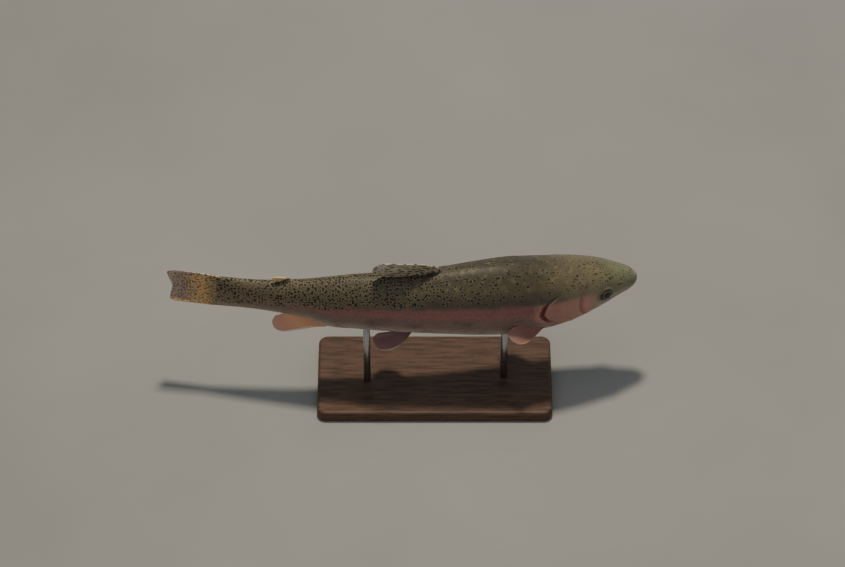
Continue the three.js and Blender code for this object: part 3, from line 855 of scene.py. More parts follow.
# %% Colours and nodes
def colour(hexed):
    parts = [int(hexed[i:i + 2], 16) / 255 for i in (1, 3, 5)]
    return tuple([p / 12.92 if p <= 0.04045 else ((p + 0.055) / 1.055) ** 2.4 for p in parts] + [1.0])


def plain_value(value):
    """A hex colour as linear light. Any other value is left as it is."""
    return colour(value) if isinstance(value, str) and value.startswith("#") else value


def add_node(tree, kind, inputs=(), out=0, stops=(), **settings):
    """Adds a node and gives back its output out, or all of its outputs where out is None. inputs are
    sockets, numbers, vectors or colours, in order or by name, and stops are those of a ramp."""
    made = tree.nodes.new(kind)
    for key, value in settings.items():
        setattr(made, key, value)
    for key, value in (inputs.items() if isinstance(inputs, dict) else enumerate(inputs)):
        if isinstance(value, bpy.types.NodeSocket):
            tree.links.new(value, made.inputs[key])
        else:
            made.inputs[key].default_value = plain_value(value)
    for place, _ in stops[2:]:
        made.color_ramp.elements.new(place)
    for i, (place, tint) in enumerate(stops):
        made.color_ramp.elements[i].position = place
        made.color_ramp.elements[i].color = (tint, tint, tint, 1) if isinstance(tint, float) else colour(tint)
    return made.outputs if out is None else made.outputs[out]


print("olive", [round(v, 3) for v in colour("#6a5c49")])

# %% [markdown]
# The coat could be laid with a loop in the script, but twelve thousand plates are what Geometry
# Nodes are made for. The tree takes the roots and the plate. Its inputs are named: the plate, how
# far its free edge stands up, how much that varies, and the seed. It turns each plate to its root's
# normal and direction, realizes the copies, because the export drops instances, and stores where
# each scale's colours and its patch of the unwrap are read.

# %% Node tree that lays the scales
WOBBLE_TWIST = 1.6
PATCH_PER_MM = (0.0008, 0.0011, 0)
ROOT_FIELDS = {"normal": "FLOAT_VECTOR", "along": "FLOAT_VECTOR", "size": "FLOAT", "local": "FLOAT_VECTOR",
               "root_flat": "FLOAT_VECTOR", "root_patch": "FLOAT_VECTOR"}
TREE_INPUTS = {"Roots": "NodeSocketGeometry", "Plate": "NodeSocketObject", "Lift": "NodeSocketFloat",
               "Lift spread": "NodeSocketFloat", "Seed": "NodeSocketInt"}


def plate_turn(add, given, field):
    """The turn of each plate: along its root, with its free edge raised and a little wobble."""
    ways = {"Primary Axis": field["normal"], "Secondary Axis": field["along"]}
    lie = add("FunctionNodeAxesToRotation", ways, primary_axis="Z", secondary_axis="X")
    spread = add("FunctionNodeRandomValue", {0: (-1, -1, -1), 1: (1, 1, 1), "Seed": given["Seed"]},
                 data_type="FLOAT_VECTOR")
    wobble = add("ShaderNodeVectorMath", (spread, (1, 1, WOBBLE_TWIST)), operation="MULTIPLY")
    wobble = add("ShaderNodeVectorMath", {0: wobble, "Scale": given["Lift spread"]}, operation="SCALE")
    raised = add("ShaderNodeCombineXYZ", {"Y": given["Lift"]})
    tilt = add("ShaderNodeVectorMath", (wobble, raised), operation="SUBTRACT")
    tilt = add("FunctionNodeEulerToRotation", {"Euler": tilt})
    return add("FunctionNodeRotateRotation", {"Rotation": lie, "Rotate By": tilt}, rotation_space="LOCAL")


def plate_maps(add, field):
    """Where each point of a scale reads the markings, and where it lies on the unwrap."""
    spread_out = add("ShaderNodeVectorMath", (field["local"], (1, -1, 0)), operation="MULTIPLY")
    spread_out = add("ShaderNodeVectorMath", {0: spread_out, "Scale": field["size"]}, operation="SCALE")
    flat = add("ShaderNodeVectorMath", (field["root_flat"], spread_out), operation="ADD")
    patch = add("ShaderNodeVectorMath", (field["local"], PATCH_PER_MM), operation="MULTIPLY")
    patch = add("ShaderNodeVectorMath", (field["root_patch"], patch), operation="ADD")
    return flat, patch


def scale_tree(finish):
    tree = bpy.data.node_groups.new("lay_scales", "GeometryNodeTree")
    add = partial(add_node, tree)
    sockets = {name: tree.interface.new_socket(name=name, in_out="INPUT", socket_type=kind)
               for name, kind in TREE_INPUTS.items()}
    tree.interface.new_socket(name="Scales", in_out="OUTPUT", socket_type="NodeSocketGeometry")
    given = add("NodeGroupInput", out=None)
    field = {name: add("GeometryNodeInputNamedAttribute", {"Name": name}, out="Attribute", data_type=kind)
             for name, kind in ROOT_FIELDS.items()}
    shape = add("GeometryNodeObjectInfo", {"Object": given["Plate"]}, out="Geometry",
                transform_space="ORIGINAL")
    laid = add("GeometryNodeInstanceOnPoints", {
        "Points": given["Roots"], "Instance": shape, "Rotation": plate_turn(add, given, field),
        "Scale": field["size"]})
    coat_mesh = add("GeometryNodeRealizeInstances", {"Geometry": laid})
    flat, patch = plate_maps(add, field)
    coat_mesh = add("GeometryNodeStoreNamedAttribute", {
        "Geometry": coat_mesh, "Name": "flat", "Value": flat}, data_type="FLOAT_VECTOR", domain="POINT")
    coat_mesh = add("GeometryNodeStoreNamedAttribute", {
        "Geometry": coat_mesh, "Name": "OFBake", "Value": patch}, data_type="FLOAT2", domain="CORNER")
    coat_mesh = add("GeometryNodeSetMaterial", {"Geometry": coat_mesh, "Material": finish})
    add("NodeGroupOutput", {"Scales": coat_mesh}, out=None)
    return tree, sockets


print("the tree's inputs:", list(TREE_INPUTS))


# %% One strip of scales
LIFT, LIFT_SPREAD, LIFT_SEED = math.radians(3.6), math.radians(1.3), 11
PATCH_T = (78, 468)


def lay_scales(name, chosen, finish):
    """Lays the plate on the chosen roots and gives back the strip as a plain mesh."""
    row = {key: value[chosen] for key, value in roots.items()}
    girth, zero = np.abs(row["girth"]), np.zeros(chosen.sum())
    along = (row["place"][:, 0] - PATCH_T[0]) / (PATCH_T[1] - PATCH_T[0])
    around = (girth - girth.min()) / (girth.max() - girth.min())
    holder = make_piece(name + "_roots", bend(row["place"]), [], {
        "normal": above[chosen], "along": ahead[chosen], "size": row["size"],
        "root_flat": np.column_stack([row["place"][:, 0], row["arc"], zero]),
        "root_patch": np.column_stack([0.015 + 0.965 * along, 0.02 + 0.95 * around, zero]),
        "girth": girth, "rise": row["place"][:, 2], "line": row["line"],
        "chance": row["chance"], "rosy": row["rosy"]})
    tree, sockets = scale_tree(finish)
    layer = holder.modifiers.new("scales", "NODES")
    layer.node_group = tree
    for key, value in (("Plate", plate), ("Lift", LIFT), ("Lift spread", LIFT_SPREAD), ("Seed", LIFT_SEED)):
        layer[sockets[key].identifier] = value
    graph = bpy.context.evaluated_depsgraph_get()
    mesh = bpy.data.meshes.new_from_object(holder.evaluated_get(graph), preserve_all_data_layers=True,
                                           depsgraph=graph)
    piece = bpy.data.objects.new(name, mesh)
    bpy.context.scene.collection.objects.link(piece)
    bpy.data.objects.remove(holder)
    print(name, chosen.sum(), "scales", triangles(piece), "triangles")
    return piece


print("free edges raised by", round(math.degrees(LIFT), 1), "degrees")

# %% [markdown]
# ## Fins
#
# A trout's fin is a thin web held up by soft rays that fork toward the edge. A plane with a Solidify
# modifier would have one thickness and no rays. So each fin is a closed plate between a root curve,
# sunk in the body, and an edge curve. It thins toward the edge and has a ridge along every ray.
# The small adipose fin has no rays and is a fleshy flap.

# %% Curves of the fins
def through(points, u):
    """A smooth curve through points, spaced by the square root of their distances."""
    p = np.asarray(points, float)
    p = np.vstack([2 * p[0] - p[1], p, 2 * p[-1] - p[-2]])
    whole = np.asarray(u, float) * (len(p) - 3)
    i = np.minimum(whole.astype(int), len(p) - 4)
    w = (whole - i)[..., None]
    p0, p1, p2, p3 = p[i], p[i + 1], p[i + 2], p[i + 3]
    d0, d1, d2 = [np.sqrt(np.linalg.norm(b - a, axis=-1, keepdims=True))
                  for a, b in ((p0, p1), (p1, p2), (p2, p3))]
    m1 = ((p1 - p0) / d0 - (p2 - p0) / (d0 + d1) + (p2 - p1) / d1) * d1
    m2 = ((p2 - p1) / d1 - (p3 - p1) / (d1 + d2) + (p3 - p2) / d2) * d1
    return ((2 * w**3 - 3 * w**2 + 1) * p1 + (w**3 - 2 * w**2 + w) * m1
            + (3 * w**2 - 2 * w**3) * p2 + (w**3 - w**2) * m2)


def ray_ridge(ray, v, fork):
    """Ridge height 0 to 1 across a fin, one per ray near the root and two after the fork."""
    single = 0.5 + 0.5 * np.cos(2 * math.pi * ray)
    double = 0.5 + 0.5 * np.cos(4 * math.pi * ray + math.pi)
    forked = smooth(fork - 0.15, fork + 0.15, v)
    return (single**2) * (1 - forked) + (double**2) * forked


def fin_sheet(root, edge, tip, u, v):
    """The middle of a fin. It is stretched between its root, its front edge, which runs from the
    root out to the tip, its free edge from the tip back, and its short rear edge. tip is the share
    of the edge curve where the tip is."""
    start, end = through(root, np.array([0.0, 1.0]))
    lead = np.vstack([start, through(edge, np.linspace(0, tip, 60))])
    run = np.concatenate([[0], np.cumsum(np.linalg.norm(np.diff(lead, axis=0), axis=1))])
    lead_at = np.stack([np.interp(v, run / run[-1], lead[:, k]) for k in range(3)], -1)
    free = through(edge, tip + (1 - tip) * u)
    corner, last = through(edge, np.array([tip, 1.0]))
    rear_at = end + (last - end) * v[..., None]
    u, v = u[..., None], v[..., None]
    return ((1 - v) * through(root, u[..., 0]) + v * free + (1 - u) * lead_at + u * rear_at
            - (1 - u) * (1 - v) * start - u * (1 - v) * end - (1 - u) * v * corner - u * v * last)


print("a ridge at the root", round(float(ray_ridge(0, 0, 0.55)), 2), "and at the edge",
      round(float(ray_ridge(0, 1, 0.55)), 2))


# %% Two sheets into a closed plate
FACE_WIDE, FACE_TALL, BORDER = 0.47, 0.94, 0.01
RIM_LOW, RIM_HIGH = 0.97, 0.99


def closed_plate(name, front, back, values, flat):
    """Joins the two faces of a fin, given as grids, into one closed plate. The faces lie side by
    side on its unwrap, with the rim as a strip above them."""
    columns, rows = front.shape[:2]

    def at(i, j, side):
        return side * columns * rows + i * rows + j

    faces, corners = [], []
    for side in (0, 1):
        for i in range(columns - 1):
            for j in range(rows - 1):
                loop = [(i, j), (i + 1, j), (i + 1, j + 1), (i, j + 1)]
                loop = loop if side == 0 else loop[::-1]
                faces.append(tuple(at(*c, side) for c in loop))
                corners += [(flat[c][0] * FACE_WIDE + BORDER + 0.5 * side, flat[c][1] * FACE_TALL + BORDER)
                            for c in loop]
    rim = [(i, 0) for i in range(columns - 1)] + [(columns - 1, j) for j in range(rows - 1)]
    rim += [(i, rows - 1) for i in range(columns - 1, 0, -1)] + [(0, j) for j in range(rows - 1, 0, -1)]
    for n, (a, b) in enumerate(zip(rim, rim[1:] + rim[:1])):
        faces.append((at(*b, 0), at(*a, 0), at(*a, 1), at(*b, 1)))
        u = n / len(rim) * UNWRAP_SIZE + BORDER
        w = (n + 1) / len(rim) * UNWRAP_SIZE + BORDER
        corners += [(w, RIM_LOW), (u, RIM_LOW), (u, RIM_HIGH), (w, RIM_HIGH)]
    points = np.concatenate([front.reshape(-1, 3), back.reshape(-1, 3)])
    both_faces = {k: np.concatenate([v.reshape(-1, *v.shape[2:])] * 2) for k, v in values.items()}
    return turn_outward(make_piece(name, bend(points), faces, both_faces, corners))


print("plates share their unwrap", FACE_WIDE, "wide each")


# %% A fin with rays
RAY_COLUMNS, FIN_ROWS, FEWEST_RAYS = 8, 46, 5
RAY_FORK, SCALLOP = 0.55, 0.012
FRONT_RIDGE = 0.30


def fin_middle(root, edge, tip, u, v, ray, rays, wave):
    """The middle sheet of a fin, with small scallops at the edge and a gentle wave, and its normal."""
    mid = fin_sheet(root, edge, tip, u, v)
    if rays:
        notch = SCALLOP * (ray_ridge(ray, np.ones_like(v), RAY_FORK) - 0.5) * smooth(0.7, 1, v)
        mid = mid + np.gradient(mid, axis=1) * FIN_ROWS * notch[..., None]
    normal = np.cross(np.gradient(mid, axis=0), np.gradient(mid, axis=1))
    normal /= np.maximum(np.linalg.norm(normal, axis=-1, keepdims=True), 1e-9)
    sway = wave * np.sin(2 * math.pi * (u * 1.6 + 0.3 * v)) * v * smooth(0, 0.2, u)
    return mid + normal * sway[..., None], normal


def fin_half(u, v, up, root_half, edge_half, ridge):
    """Half the thickness in mm: thickest in the middle of the root, with the rays raised."""
    taper = np.sqrt(np.sin(math.pi * np.clip(u * 0.86 + 0.07, 0, 1)))
    half = edge_half + (root_half - edge_half) * (1 - v) ** 1.7 * taper
    raised = ridge * (0.40 + 0.60 * (1 - v)) * up * smooth(0.0, 0.08, u)
    front = FRONT_RIDGE * bump(u - 0.03, 0.03) * (1 - 0.6 * v)
    round_off = 1 - 0.45 * (1 - np.minimum(1, np.minimum(u, 1 - u) * 30)) ** 2
    return (half + raised + front) * round_off


def make_fin(name, root, edge, tip, root_half, rays, side=1, edge_half=0.40, ridge=0.26, wave=0.35):
    """A fin between two curves. u runs from its front to its rear, v from its root to its edge."""
    columns = max(rays, FEWEST_RAYS) * RAY_COLUMNS + 1
    u, v = np.meshgrid(np.linspace(0, 1, columns), np.linspace(0, 1, FIN_ROWS), indexing="ij")
    turn = np.array([1, side, 1])
    ray = u * rays
    up = ray_ridge(ray, v, RAY_FORK) if rays else np.zeros_like(u)
    mid, normal = fin_middle(np.array(root) * turn, np.array(edge) * turn, tip, u, v, ray, rays, wave)
    half = fin_half(u, v, up, root_half, edge_half, ridge)[..., None]
    values = {"ray": ray, "reach": v, "ridge": up, "across": u,
              "flat": np.stack([mid[..., 0], mid[..., 2], mid[..., 1]], -1)}
    return closed_plate(name, mid + normal * half, mid - normal * half, values, np.stack([u, v], -1))


print("fins have", RAY_COLUMNS, "columns to a ray")

# %% [markdown]
# The dorsal and anal fins stand on the middle line with their front edge longest. The dorsal fin
# of a swimming trout is soft and leans over, here to its right. The adipose fin is a small flap
# in front of the tail. Their curves are given as heights over the back or depths under the belly,
# so they keep their place when the table of the body changes.

# %% Dorsal, adipose and anal fins
FIN_SUNK = -5


def on_back(t, rise, slump=0.0):
    return [t, -slump, float(back_at(t)) + rise]


def on_belly(t, drop):
    return [t, 0, -float(belly_at(t)) - drop]


dorsal = make_fin("dorsal_web", [on_back(t, FIN_SUNK) for t in (216, 235, 255, 276)],
                  [on_back(222, 9, 3), on_back(238, 20, 8), on_back(260, 27.2, 12.2),
                   on_back(279, 32, 15.2), on_back(289, 26.8, 13.4), on_back(293, 11.5, 5.6)],
                  tip=0.6, root_half=2.2, rays=13)
adipose = make_fin("adipose_flap", [on_back(t, FIN_SUNK) for t in (377, 383, 390)],
                   [on_back(382, 4, 1), on_back(389, 7.6, 2.6), on_back(397, 8.8, 3.4),
                    on_back(402, 6.8, 2.8), on_back(400, 4, 1.6)],
                   tip=0.6, root_half=1.7, rays=0, edge_half=0.55, ridge=0, wave=0.1)
anal = make_fin("anal_web", [on_belly(t, FIN_SUNK) for t in (338, 352, 366, 379)],
                [on_belly(345, 5), on_belly(357, 13), on_belly(376, 25.5), on_belly(391.5, 31),
                 on_belly(401, 27.5), on_belly(404, 18), on_belly(400.5, 8)],
                tip=0.5, root_half=2.1, rays=12)
print("fins on the middle:", [triangles(f) for f in (dorsal, adipose, anal)])

# %% [markdown]
# The pelvic and pectoral fins come in pairs. A Mirror modifier would leave the bent body behind, so
# each curve is given once in straight-fish millimetres, and the other side only changes the sign
# of s before the bend.

# %% Pelvic and pectoral fins
PELVIC_ROOT = [[247, 5, -38.5], [253, 7, -38.5], [260, 8, -37]]
PELVIC_EDGE = [[262, 21, -48], [273, 26, -50], [283, 26, -50], [290, 20, -47.5], [292, 13, -44.5],
               [287, 9, -41.5]]
PECTORAL_ROOT = [[101, 15, -31], [104, 18, -26], [107, 20, -20]]
PECTORAL_EDGE = [[123, 34, -36], [133, 41, -36], [141, 42, -34], [148, 38, -30], [150, 33, -25],
                 [145, 30, -20]]

paired = {}
for hand, side_sign in (("left", 1), ("right", -1)):
    paired["pelvic_" + hand] = make_fin("pelvic_web_" + hand, PELVIC_ROOT, PELVIC_EDGE, tip=0.4,
                                        root_half=1.9, rays=10, side=side_sign, wave=0.25)
    paired["pectoral_" + hand] = make_fin("pectoral_web_" + hand, PECTORAL_ROOT, PECTORAL_EDGE, tip=0.4,
                                          root_half=2.1, rays=14, side=side_sign, wave=0.3)
print("paired fins:", {k: triangles(f) for k, f in paired.items()})

# %% [markdown]
# The tail fin grows out of the stalk of the tail as a fan. It is thick where the scales end and
# thin at the edge, with a shallow fork between its corners. It has no front edge of its own, so it
# is spread evenly from corner to corner, which the sheet of the other fins couldn't do.

# %% Tail fin
TAIL_HALF, FORK, CORNER_ROUND = 26.0, 5.0, 5
TAIL_RAYS, TAIL_RAY_COLUMNS, TAIL_ROWS = 19, 10, 60
TAIL_FORK_AT = 0.45
TAIL_EDGE_HALF_THICK, TAIL_ROOT_HALF_THICK, TAIL_CORNER_HALF = 0.42, 2.7, 0.10
TAIL_RIDGE, TAIL_SWAY = 0.30, 0.5


def make_tail():
    """w runs from the lower corner to the upper one, v from the stalk to the edge."""
    start = STALK_END - 1.0
    w, v = np.meshgrid(np.linspace(-1, 1, TAIL_RAYS * TAIL_RAY_COLUMNS + 1),
                       np.linspace(0, 1, TAIL_ROWS), indexing="ij")
    ray = (w + 1) / 2 * TAIL_RAYS
    up = ray_ridge(ray, v, TAIL_FORK_AT)
    foot = np.where(w > 0, back_at(start), belly_at(start)) - 0.5
    tall = foot + (TAIL_HALF - foot) * np.sin(math.pi / 2 * np.minimum(1, 1.25 * v))
    corner = CORNER_ROUND * np.clip(np.abs(w) - 0.9, 0, 1) / 0.1
    edge = TOTAL_LENGTH - FORK * (1 - np.abs(w)) ** 1.3 - corner
    edge = edge + 0.5 * (ray_ridge(ray, np.ones_like(v), TAIL_FORK_AT) - 0.6)
    t = start + (edge - start) * v
    spindle = np.sqrt(np.clip(1 - 0.9 * w**2, 0, 1))
    half = (TAIL_EDGE_HALF_THICK + TAIL_ROOT_HALF_THICK * (1 - v) ** 2.8) * spindle + TAIL_CORNER_HALF
    ridge = TAIL_RIDGE * up * smooth(0.04, 0.25, v) * (1 - 0.45 * v)
    sway = TAIL_SWAY * np.sin(2.2 * math.pi * w) * v**1.5
    h = w * tall
    values = {"ray": ray, "reach": v, "ridge": up, "across": (w + 1) / 2,
              "flat": np.stack([t, h, sway], -1)}
    front = np.stack([t, sway + half + ridge, h], -1)
    back = np.stack([t, sway - half - ridge, h], -1)
    return closed_plate("tail_web", front, back, values, np.stack([(w + 1) / 2, v], -1))


tail = make_tail()
print("tail fin:", triangles(tail), "triangles")

# %% [markdown]
# ## Eyes
#
# A taxidermist sets a glass eye, painted behind, in a seat of putty: a clear dome in front and a
# plain back that nobody sees. A sphere would bulge too much, so a flatter profile is turned round
# the eye's own axis, as on a lathe. Each point keeps its place from the middle, for the painting.

# %% Turned shapes
def lathe_faces(around, rings):
    """Faces of a closed turned shape: a point, rings of that many points, and a point."""
    faces = []
    last = 1 + (rings - 1) * around
    for j in range(around):
        k = (j + 1) % around
        faces.append((0, 1 + j, 1 + k))
        for i in range(rings - 1):
            a, b = 1 + i * around, 1 + (i + 1) * around
            faces.append((a + j, b + j, b + k, a + k))
        faces.append((last + j, last + around, last + k))
    return faces


print("a turned shape of 2 rings of 8 has", len(lathe_faces(8, 2)), "faces")

# %% Eyes
EYE_AXIS_FORWARD, EYE_AXIS_UP = 0.26, 0.12
EYE_SUNK, EYE_BACK = 0.2, 4.5
EYE_AROUND, DOME_STEPS, BACK_STEPS = 72, 40, 14


def make_eye(hand, way):
    axis = np.array([-EYE_AXIS_FORWARD, way, EYE_AXIS_UP])
    axis = axis / math.sqrt(EYE_AXIS_FORWARD**2 + 1 + EYE_AXIS_UP**2)
    middle = np.array([EYE_T, way * (float(side_at(EYE_T, EYE_H)) - EYE_SUNK), EYE_H])
    to_tail = np.cross([0, 0, 1], axis) * -way
    to_tail /= np.linalg.norm(to_tail)
    upright = np.cross(axis, to_tail) * way
    upright *= np.sign(upright[2])
    profile = [(EYE_RADIUS * math.sin(a), EYE_BULGE * math.cos(a))
               for a in np.linspace(0, math.pi / 2, DOME_STEPS)[1:]]
    profile += [(EYE_RADIUS * math.cos(a), -EYE_BACK * math.sin(a))
                for a in np.linspace(0, math.pi / 2, BACK_STEPS)[1:-1]]
    points, look = [middle + axis * EYE_BULGE], [(0, 0, 0)]
    for r, z in profile:
        for a in np.arange(EYE_AROUND) * 2 * math.pi / EYE_AROUND:
            x, y = r * math.cos(a), r * math.sin(a)
            points.append(middle + to_tail * x + upright * y + axis * z)
            look.append((x, y, z))
    points.append(middle - axis * EYE_BACK)
    look.append((0, 0, -EYE_BACK))
    faces = lathe_faces(EYE_AROUND, len(profile))
    return turn_outward(make_piece("eyeball_" + hand, bend(points), faces, {"look": look}))


eyes = {hand: make_eye(hand, way) for hand, way in (("left", 1), ("right", -1))}
print("eyes:", {k: triangles(e) for k, e in eyes.items()})

# %% [markdown]
# ## Markings
#
# A trout's markings follow its body: olive brown on the back, black spots with pale rims, denser
# toward the tail, a rose band along the middle of the side, silver grey under it and a cream
# belly. They could be painted on an image, but an image has a fixed size and a seam. Here they are
# nodes in the fish's own millimetres, so they stay where they are on the body, and the same nodes
# colour the skin and the scales.
#
# Colours are laid like a painter's thin coats: a coat has a colour and masks that say where it holds.

# %% Coats of paint
def new_finish(name, **numbers):
    """An empty material, whose plain numbers are set on its one shader, and a way to add nodes."""
    finish = bpy.data.materials.new(name)
    finish.use_nodes = True
    shader = finish.node_tree.nodes["Principled BSDF"]
    for key, value in numbers.items():
        shader.inputs[key.replace("_", " ")].default_value = value
    return finish, partial(add_node, finish.node_tree), shader


def dress(finish, shader, tint, normal=None):
    """Links the finished colour, and the fine relief where there is one, to the shader."""
    finish.node_tree.links.new(tint, shader.inputs["Base Color"])
    if normal is not None:
        finish.node_tree.links.new(normal, shader.inputs["Normal"])
    return finish


def area(add, *masks):
    """How strongly all the masks hold: their product. A mask is a socket or a plain number, or a soft
    edge (value, start, end) or (value, start, end, top), which is 0 at start and 1 or top at end."""
    product = None
    for mask in masks:
        if isinstance(mask, tuple):
            value, start, end, top = (*mask, 1.0)[:4]
            if end < start:
                value = add("ShaderNodeMath", (value, -1.0), operation="MULTIPLY")
                start, end = -start, -end
            mask = add("ShaderNodeMapRange", {"Value": value, "From Min": start, "From Max": end,
                                              "To Min": 0.0, "To Max": top}, interpolation_type="SMOOTHSTEP")
        product = mask if product is None else add("ShaderNodeMath", (product, mask), operation="MULTIPLY")
    return product


def glaze(add, under, over, *masks, kind="MIX"):
    """Lays the colour over on the colour under, as strongly as the masks say."""
    return add("ShaderNodeMix", {0: area(add, *masks), 6: under, 7: over}, out=2, data_type="RGBA",
               blend_type=kind)


print("paint helpers ready:", [f.__name__ for f in (area, glaze, dress)])

# %% [markdown]
# A trout's spots are ragged, of mixed size, and sit at uneven distances. Voronoi cells give one spot
# to a cell at most. A cell's own random colour says whether it has one and how big it is, and a
# little noise makes the edges ragged. The pale rim is a wider ring of the same distance.

# %% Spots
SPOT_SHAKE, SPOT_SPREAD = 0.55, 0.82
SPOT_SOFT, SPOT_HALO = 0.08, 0.34


def spots(add, place, size, density, least, most, swell=None, rimmed=False):
    """Dark spots in cells of that size, and their pale rims if they have any. density and swell are
    functions of a cell's own place. least and most are radii as shares of a cell, times swell."""
    shaken = add("ShaderNodeTexNoise", {"Vector": place, "Scale": 1 / (size * SPOT_SHAKE), "Detail": 1.0,
                                        "Roughness": 0.5}, out="Color")
    shaken = add("ShaderNodeVectorMath", (shaken, (0.5, 0.5, 0.5)), operation="SUBTRACT")
    reach = size * SPOT_SHAKE
    shaken = add("ShaderNodeVectorMath", (shaken, (reach, reach, 0)), operation="MULTIPLY")
    place = add("ShaderNodeVectorMath", (place, shaken), operation="ADD")
    cells = add("ShaderNodeTexVoronoi", {"Vector": place, "Scale": 1 / size, "Randomness": SPOT_SPREAD},
                out=None, voronoi_dimensions="2D")
    lot = add("ShaderNodeSeparateColor", (cells["Color"],), out=None)
    here = add("ShaderNodeMath", (lot["Green"], density(cells["Position"])), operation="LESS_THAN")
    radius = add("ShaderNodeMath", (lot["Red"], most - least, least), operation="MULTIPLY_ADD")
    if swell:
        radius = add("ShaderNodeMath", (radius, swell(cells["Position"])), operation="MULTIPLY")
    inner = add("ShaderNodeMath", (radius, cells["Distance"]), operation="SUBTRACT")
    mark = area(add, (inner, -SPOT_SOFT / 2, SPOT_SOFT / 2), here)
    rim = area(add, (inner, -SPOT_HALO, -SPOT_SOFT), here) if rimmed else None
    return mark, rim


print("spots shaken by", SPOT_SHAKE, "of a cell")

# %% [markdown]
# The ground colours run in bands from back to belly, and they differ on the head, the trunk and the
# stalk of the tail. Three ramps over girth are blended along the body, which keeps each band's
# colours in one short list. A slow noise shifts the bands a little, so no edge is ruled.

# %% Ground colours
TRUNK_BANDS = [(0.0, "#3d382b"), (0.12, "#423c2e"), (0.24, "#574e39"), (0.34, "#645744"),
               (0.42, "#6a5c49"), (0.47, "#755f50"), (0.56, "#7c6458"), (0.68, "#826b61"),
               (0.80, "#ad9b8d"), (1.0, "#d6cab9")]
CROWN_BANDS = [(0.0, "#5e563f"), (0.14, "#675e46"), (0.28, "#756b52"), (0.40, "#867a62"), (0.52, "#93846f"),
               (0.68, "#a59683"), (0.84, "#bfb3a1"), (1.0, "#d2c8b7")]
STALK_BANDS = [(0.0, "#5a513c"), (0.20, "#645943"), (0.40, "#70624b"), (0.60, "#7a6a56"), (0.80, "#8f7e66"),
               (1.0, "#a08f78")]
PATCH_SIZE = 16.0


def body_readings(add):
    """What the markings follow: the place along and round the body, and slow patches."""
    flat = add("ShaderNodeAttribute", out="Vector", attribute_name="flat")
    girth = add("ShaderNodeAttribute", out="Fac", attribute_name="girth")
    rise = add("ShaderNodeAttribute", out="Fac", attribute_name="rise")
    t = add("ShaderNodeSeparateXYZ", (flat,))
    share = add("ShaderNodeMath", (t, TOTAL_LENGTH), operation="DIVIDE")
    patchy = add("ShaderNodeTexNoise", {"Vector": flat, "Scale": 1 / PATCH_SIZE, "Detail": 3.0,
                                        "Roughness": 0.55})
    drift = add("ShaderNodeMath", (patchy, 0.09, -0.045), operation="MULTIPLY_ADD")
    band = add("ShaderNodeMath", (girth, drift), operation="ADD")
    return SimpleNamespace(flat=flat, girth=girth, rise=rise, t=t, share=share, patchy=patchy, band=band)


def ground_colours(add, body):
    crown, trunk, stalk = [add("ShaderNodeValToRGB", (body.band,), stops=bands)
                           for bands in (CROWN_BANDS, TRUNK_BANDS, STALK_BANDS)]
    tint = glaze(add, crown, trunk, (body.t, 70, 125))
    tint = glaze(add, tint, stalk, (body.t, 300, 430))
    off_axis = add("ShaderNodeMath", (body.rise,), operation="ABSOLUTE")
    tail_root = add("ShaderNodeMath", (off_axis, 0.5, body.t), operation="MULTIPLY_ADD")
    return glaze(add, tint, "#a07c4c", (tail_root, 462, 482, 0.7))


print("bands of the trunk:", len(TRUNK_BANDS))

# %% [markdown]
# Over the ground come cloudy dark patches, a yellow mottling of the back, a dull zone over the
# shoulder, and a greener snout with a pale tip, partly its own paler skin and partly a painted
# highlight. Then comes the rose band, strongest in front of the dorsal fin, and the blush of the
# cheek and the gill cover.

# %% Patches, rose band and blush
SHOULDER_LINE, ROSE_LINE = 0.345, 0.495
SHOULDER_ALONG = [(0.17, 0.0), (0.22, 0.5), (0.42, 0.5), (0.55, 0.1)]
ROSE_ALONG = [(0.0, 0.0), (0.17, 0.1), (0.24, 0.65), (0.40, 0.80), (0.62, 0.60), (0.86, 0.18)]
CLOUD_SIZE, MOTTLE_SIZE = 26.0, 9.0


def off_line(add, body, line):
    """How far the place is from a line of that girth."""
    gap = add("ShaderNodeMath", (body.band, line), operation="SUBTRACT")
    return add("ShaderNodeMath", (gap,), operation="ABSOLUTE")


def patches(add, body, tint):
    cloudy = add("ShaderNodeTexNoise", {"Vector": body.flat, "Scale": 1 / CLOUD_SIZE, "Detail": 3.0,
                                        "Roughness": 0.6})
    tint = glaze(add, tint, "#3f372f", (cloudy, 0.48, 0.78, 0.50))
    mottled = add("ShaderNodeTexNoise", {"Vector": body.flat, "Scale": 1 / MOTTLE_SIZE, "Detail": 4.0,
                                         "Roughness": 0.65})
    tint = glaze(add, tint, "#8d8258", (mottled, 0.50, 0.72, 0.38), (body.girth, 0.44, 0.34))
    shoulder = add("ShaderNodeValToRGB", (body.share,), stops=SHOULDER_ALONG)
    tint = glaze(add, tint, "#4a3f39", (off_line(add, body, SHOULDER_LINE), 0.10, 0.03), shoulder)
    tint = glaze(add, tint, "#727a5c", (body.t, 60, 6, 0.75), (body.rise, -6, 2))
    # pale snout tip: partly the snout's own paler skin, partly a painted highlight
    return glaze(add, tint, "#9a9186", (body.t, 9, 2, 0.5))


def rose_parts(add, body, tint):
    strong = add("ShaderNodeValToRGB", (body.share,), stops=ROSE_ALONG)
    uneven = add("ShaderNodeMath", (body.patchy, 0.8, 0.5), operation="MULTIPLY_ADD")
    tint = glaze(add, tint, "#9c615c", (off_line(add, body, ROSE_LINE), 0.11, 0.02), strong, uneven)
    rosy = add("ShaderNodeAttribute", out="Fac", attribute_name="rosy")
    uneven = add("ShaderNodeMath", (body.patchy, 0.9, 0.30), operation="MULTIPLY_ADD")
    return glaze(add, tint, "#be8678", rosy, uneven)


print("rose band strongest at", round(0.40 * TOTAL_LENGTH), "mm")

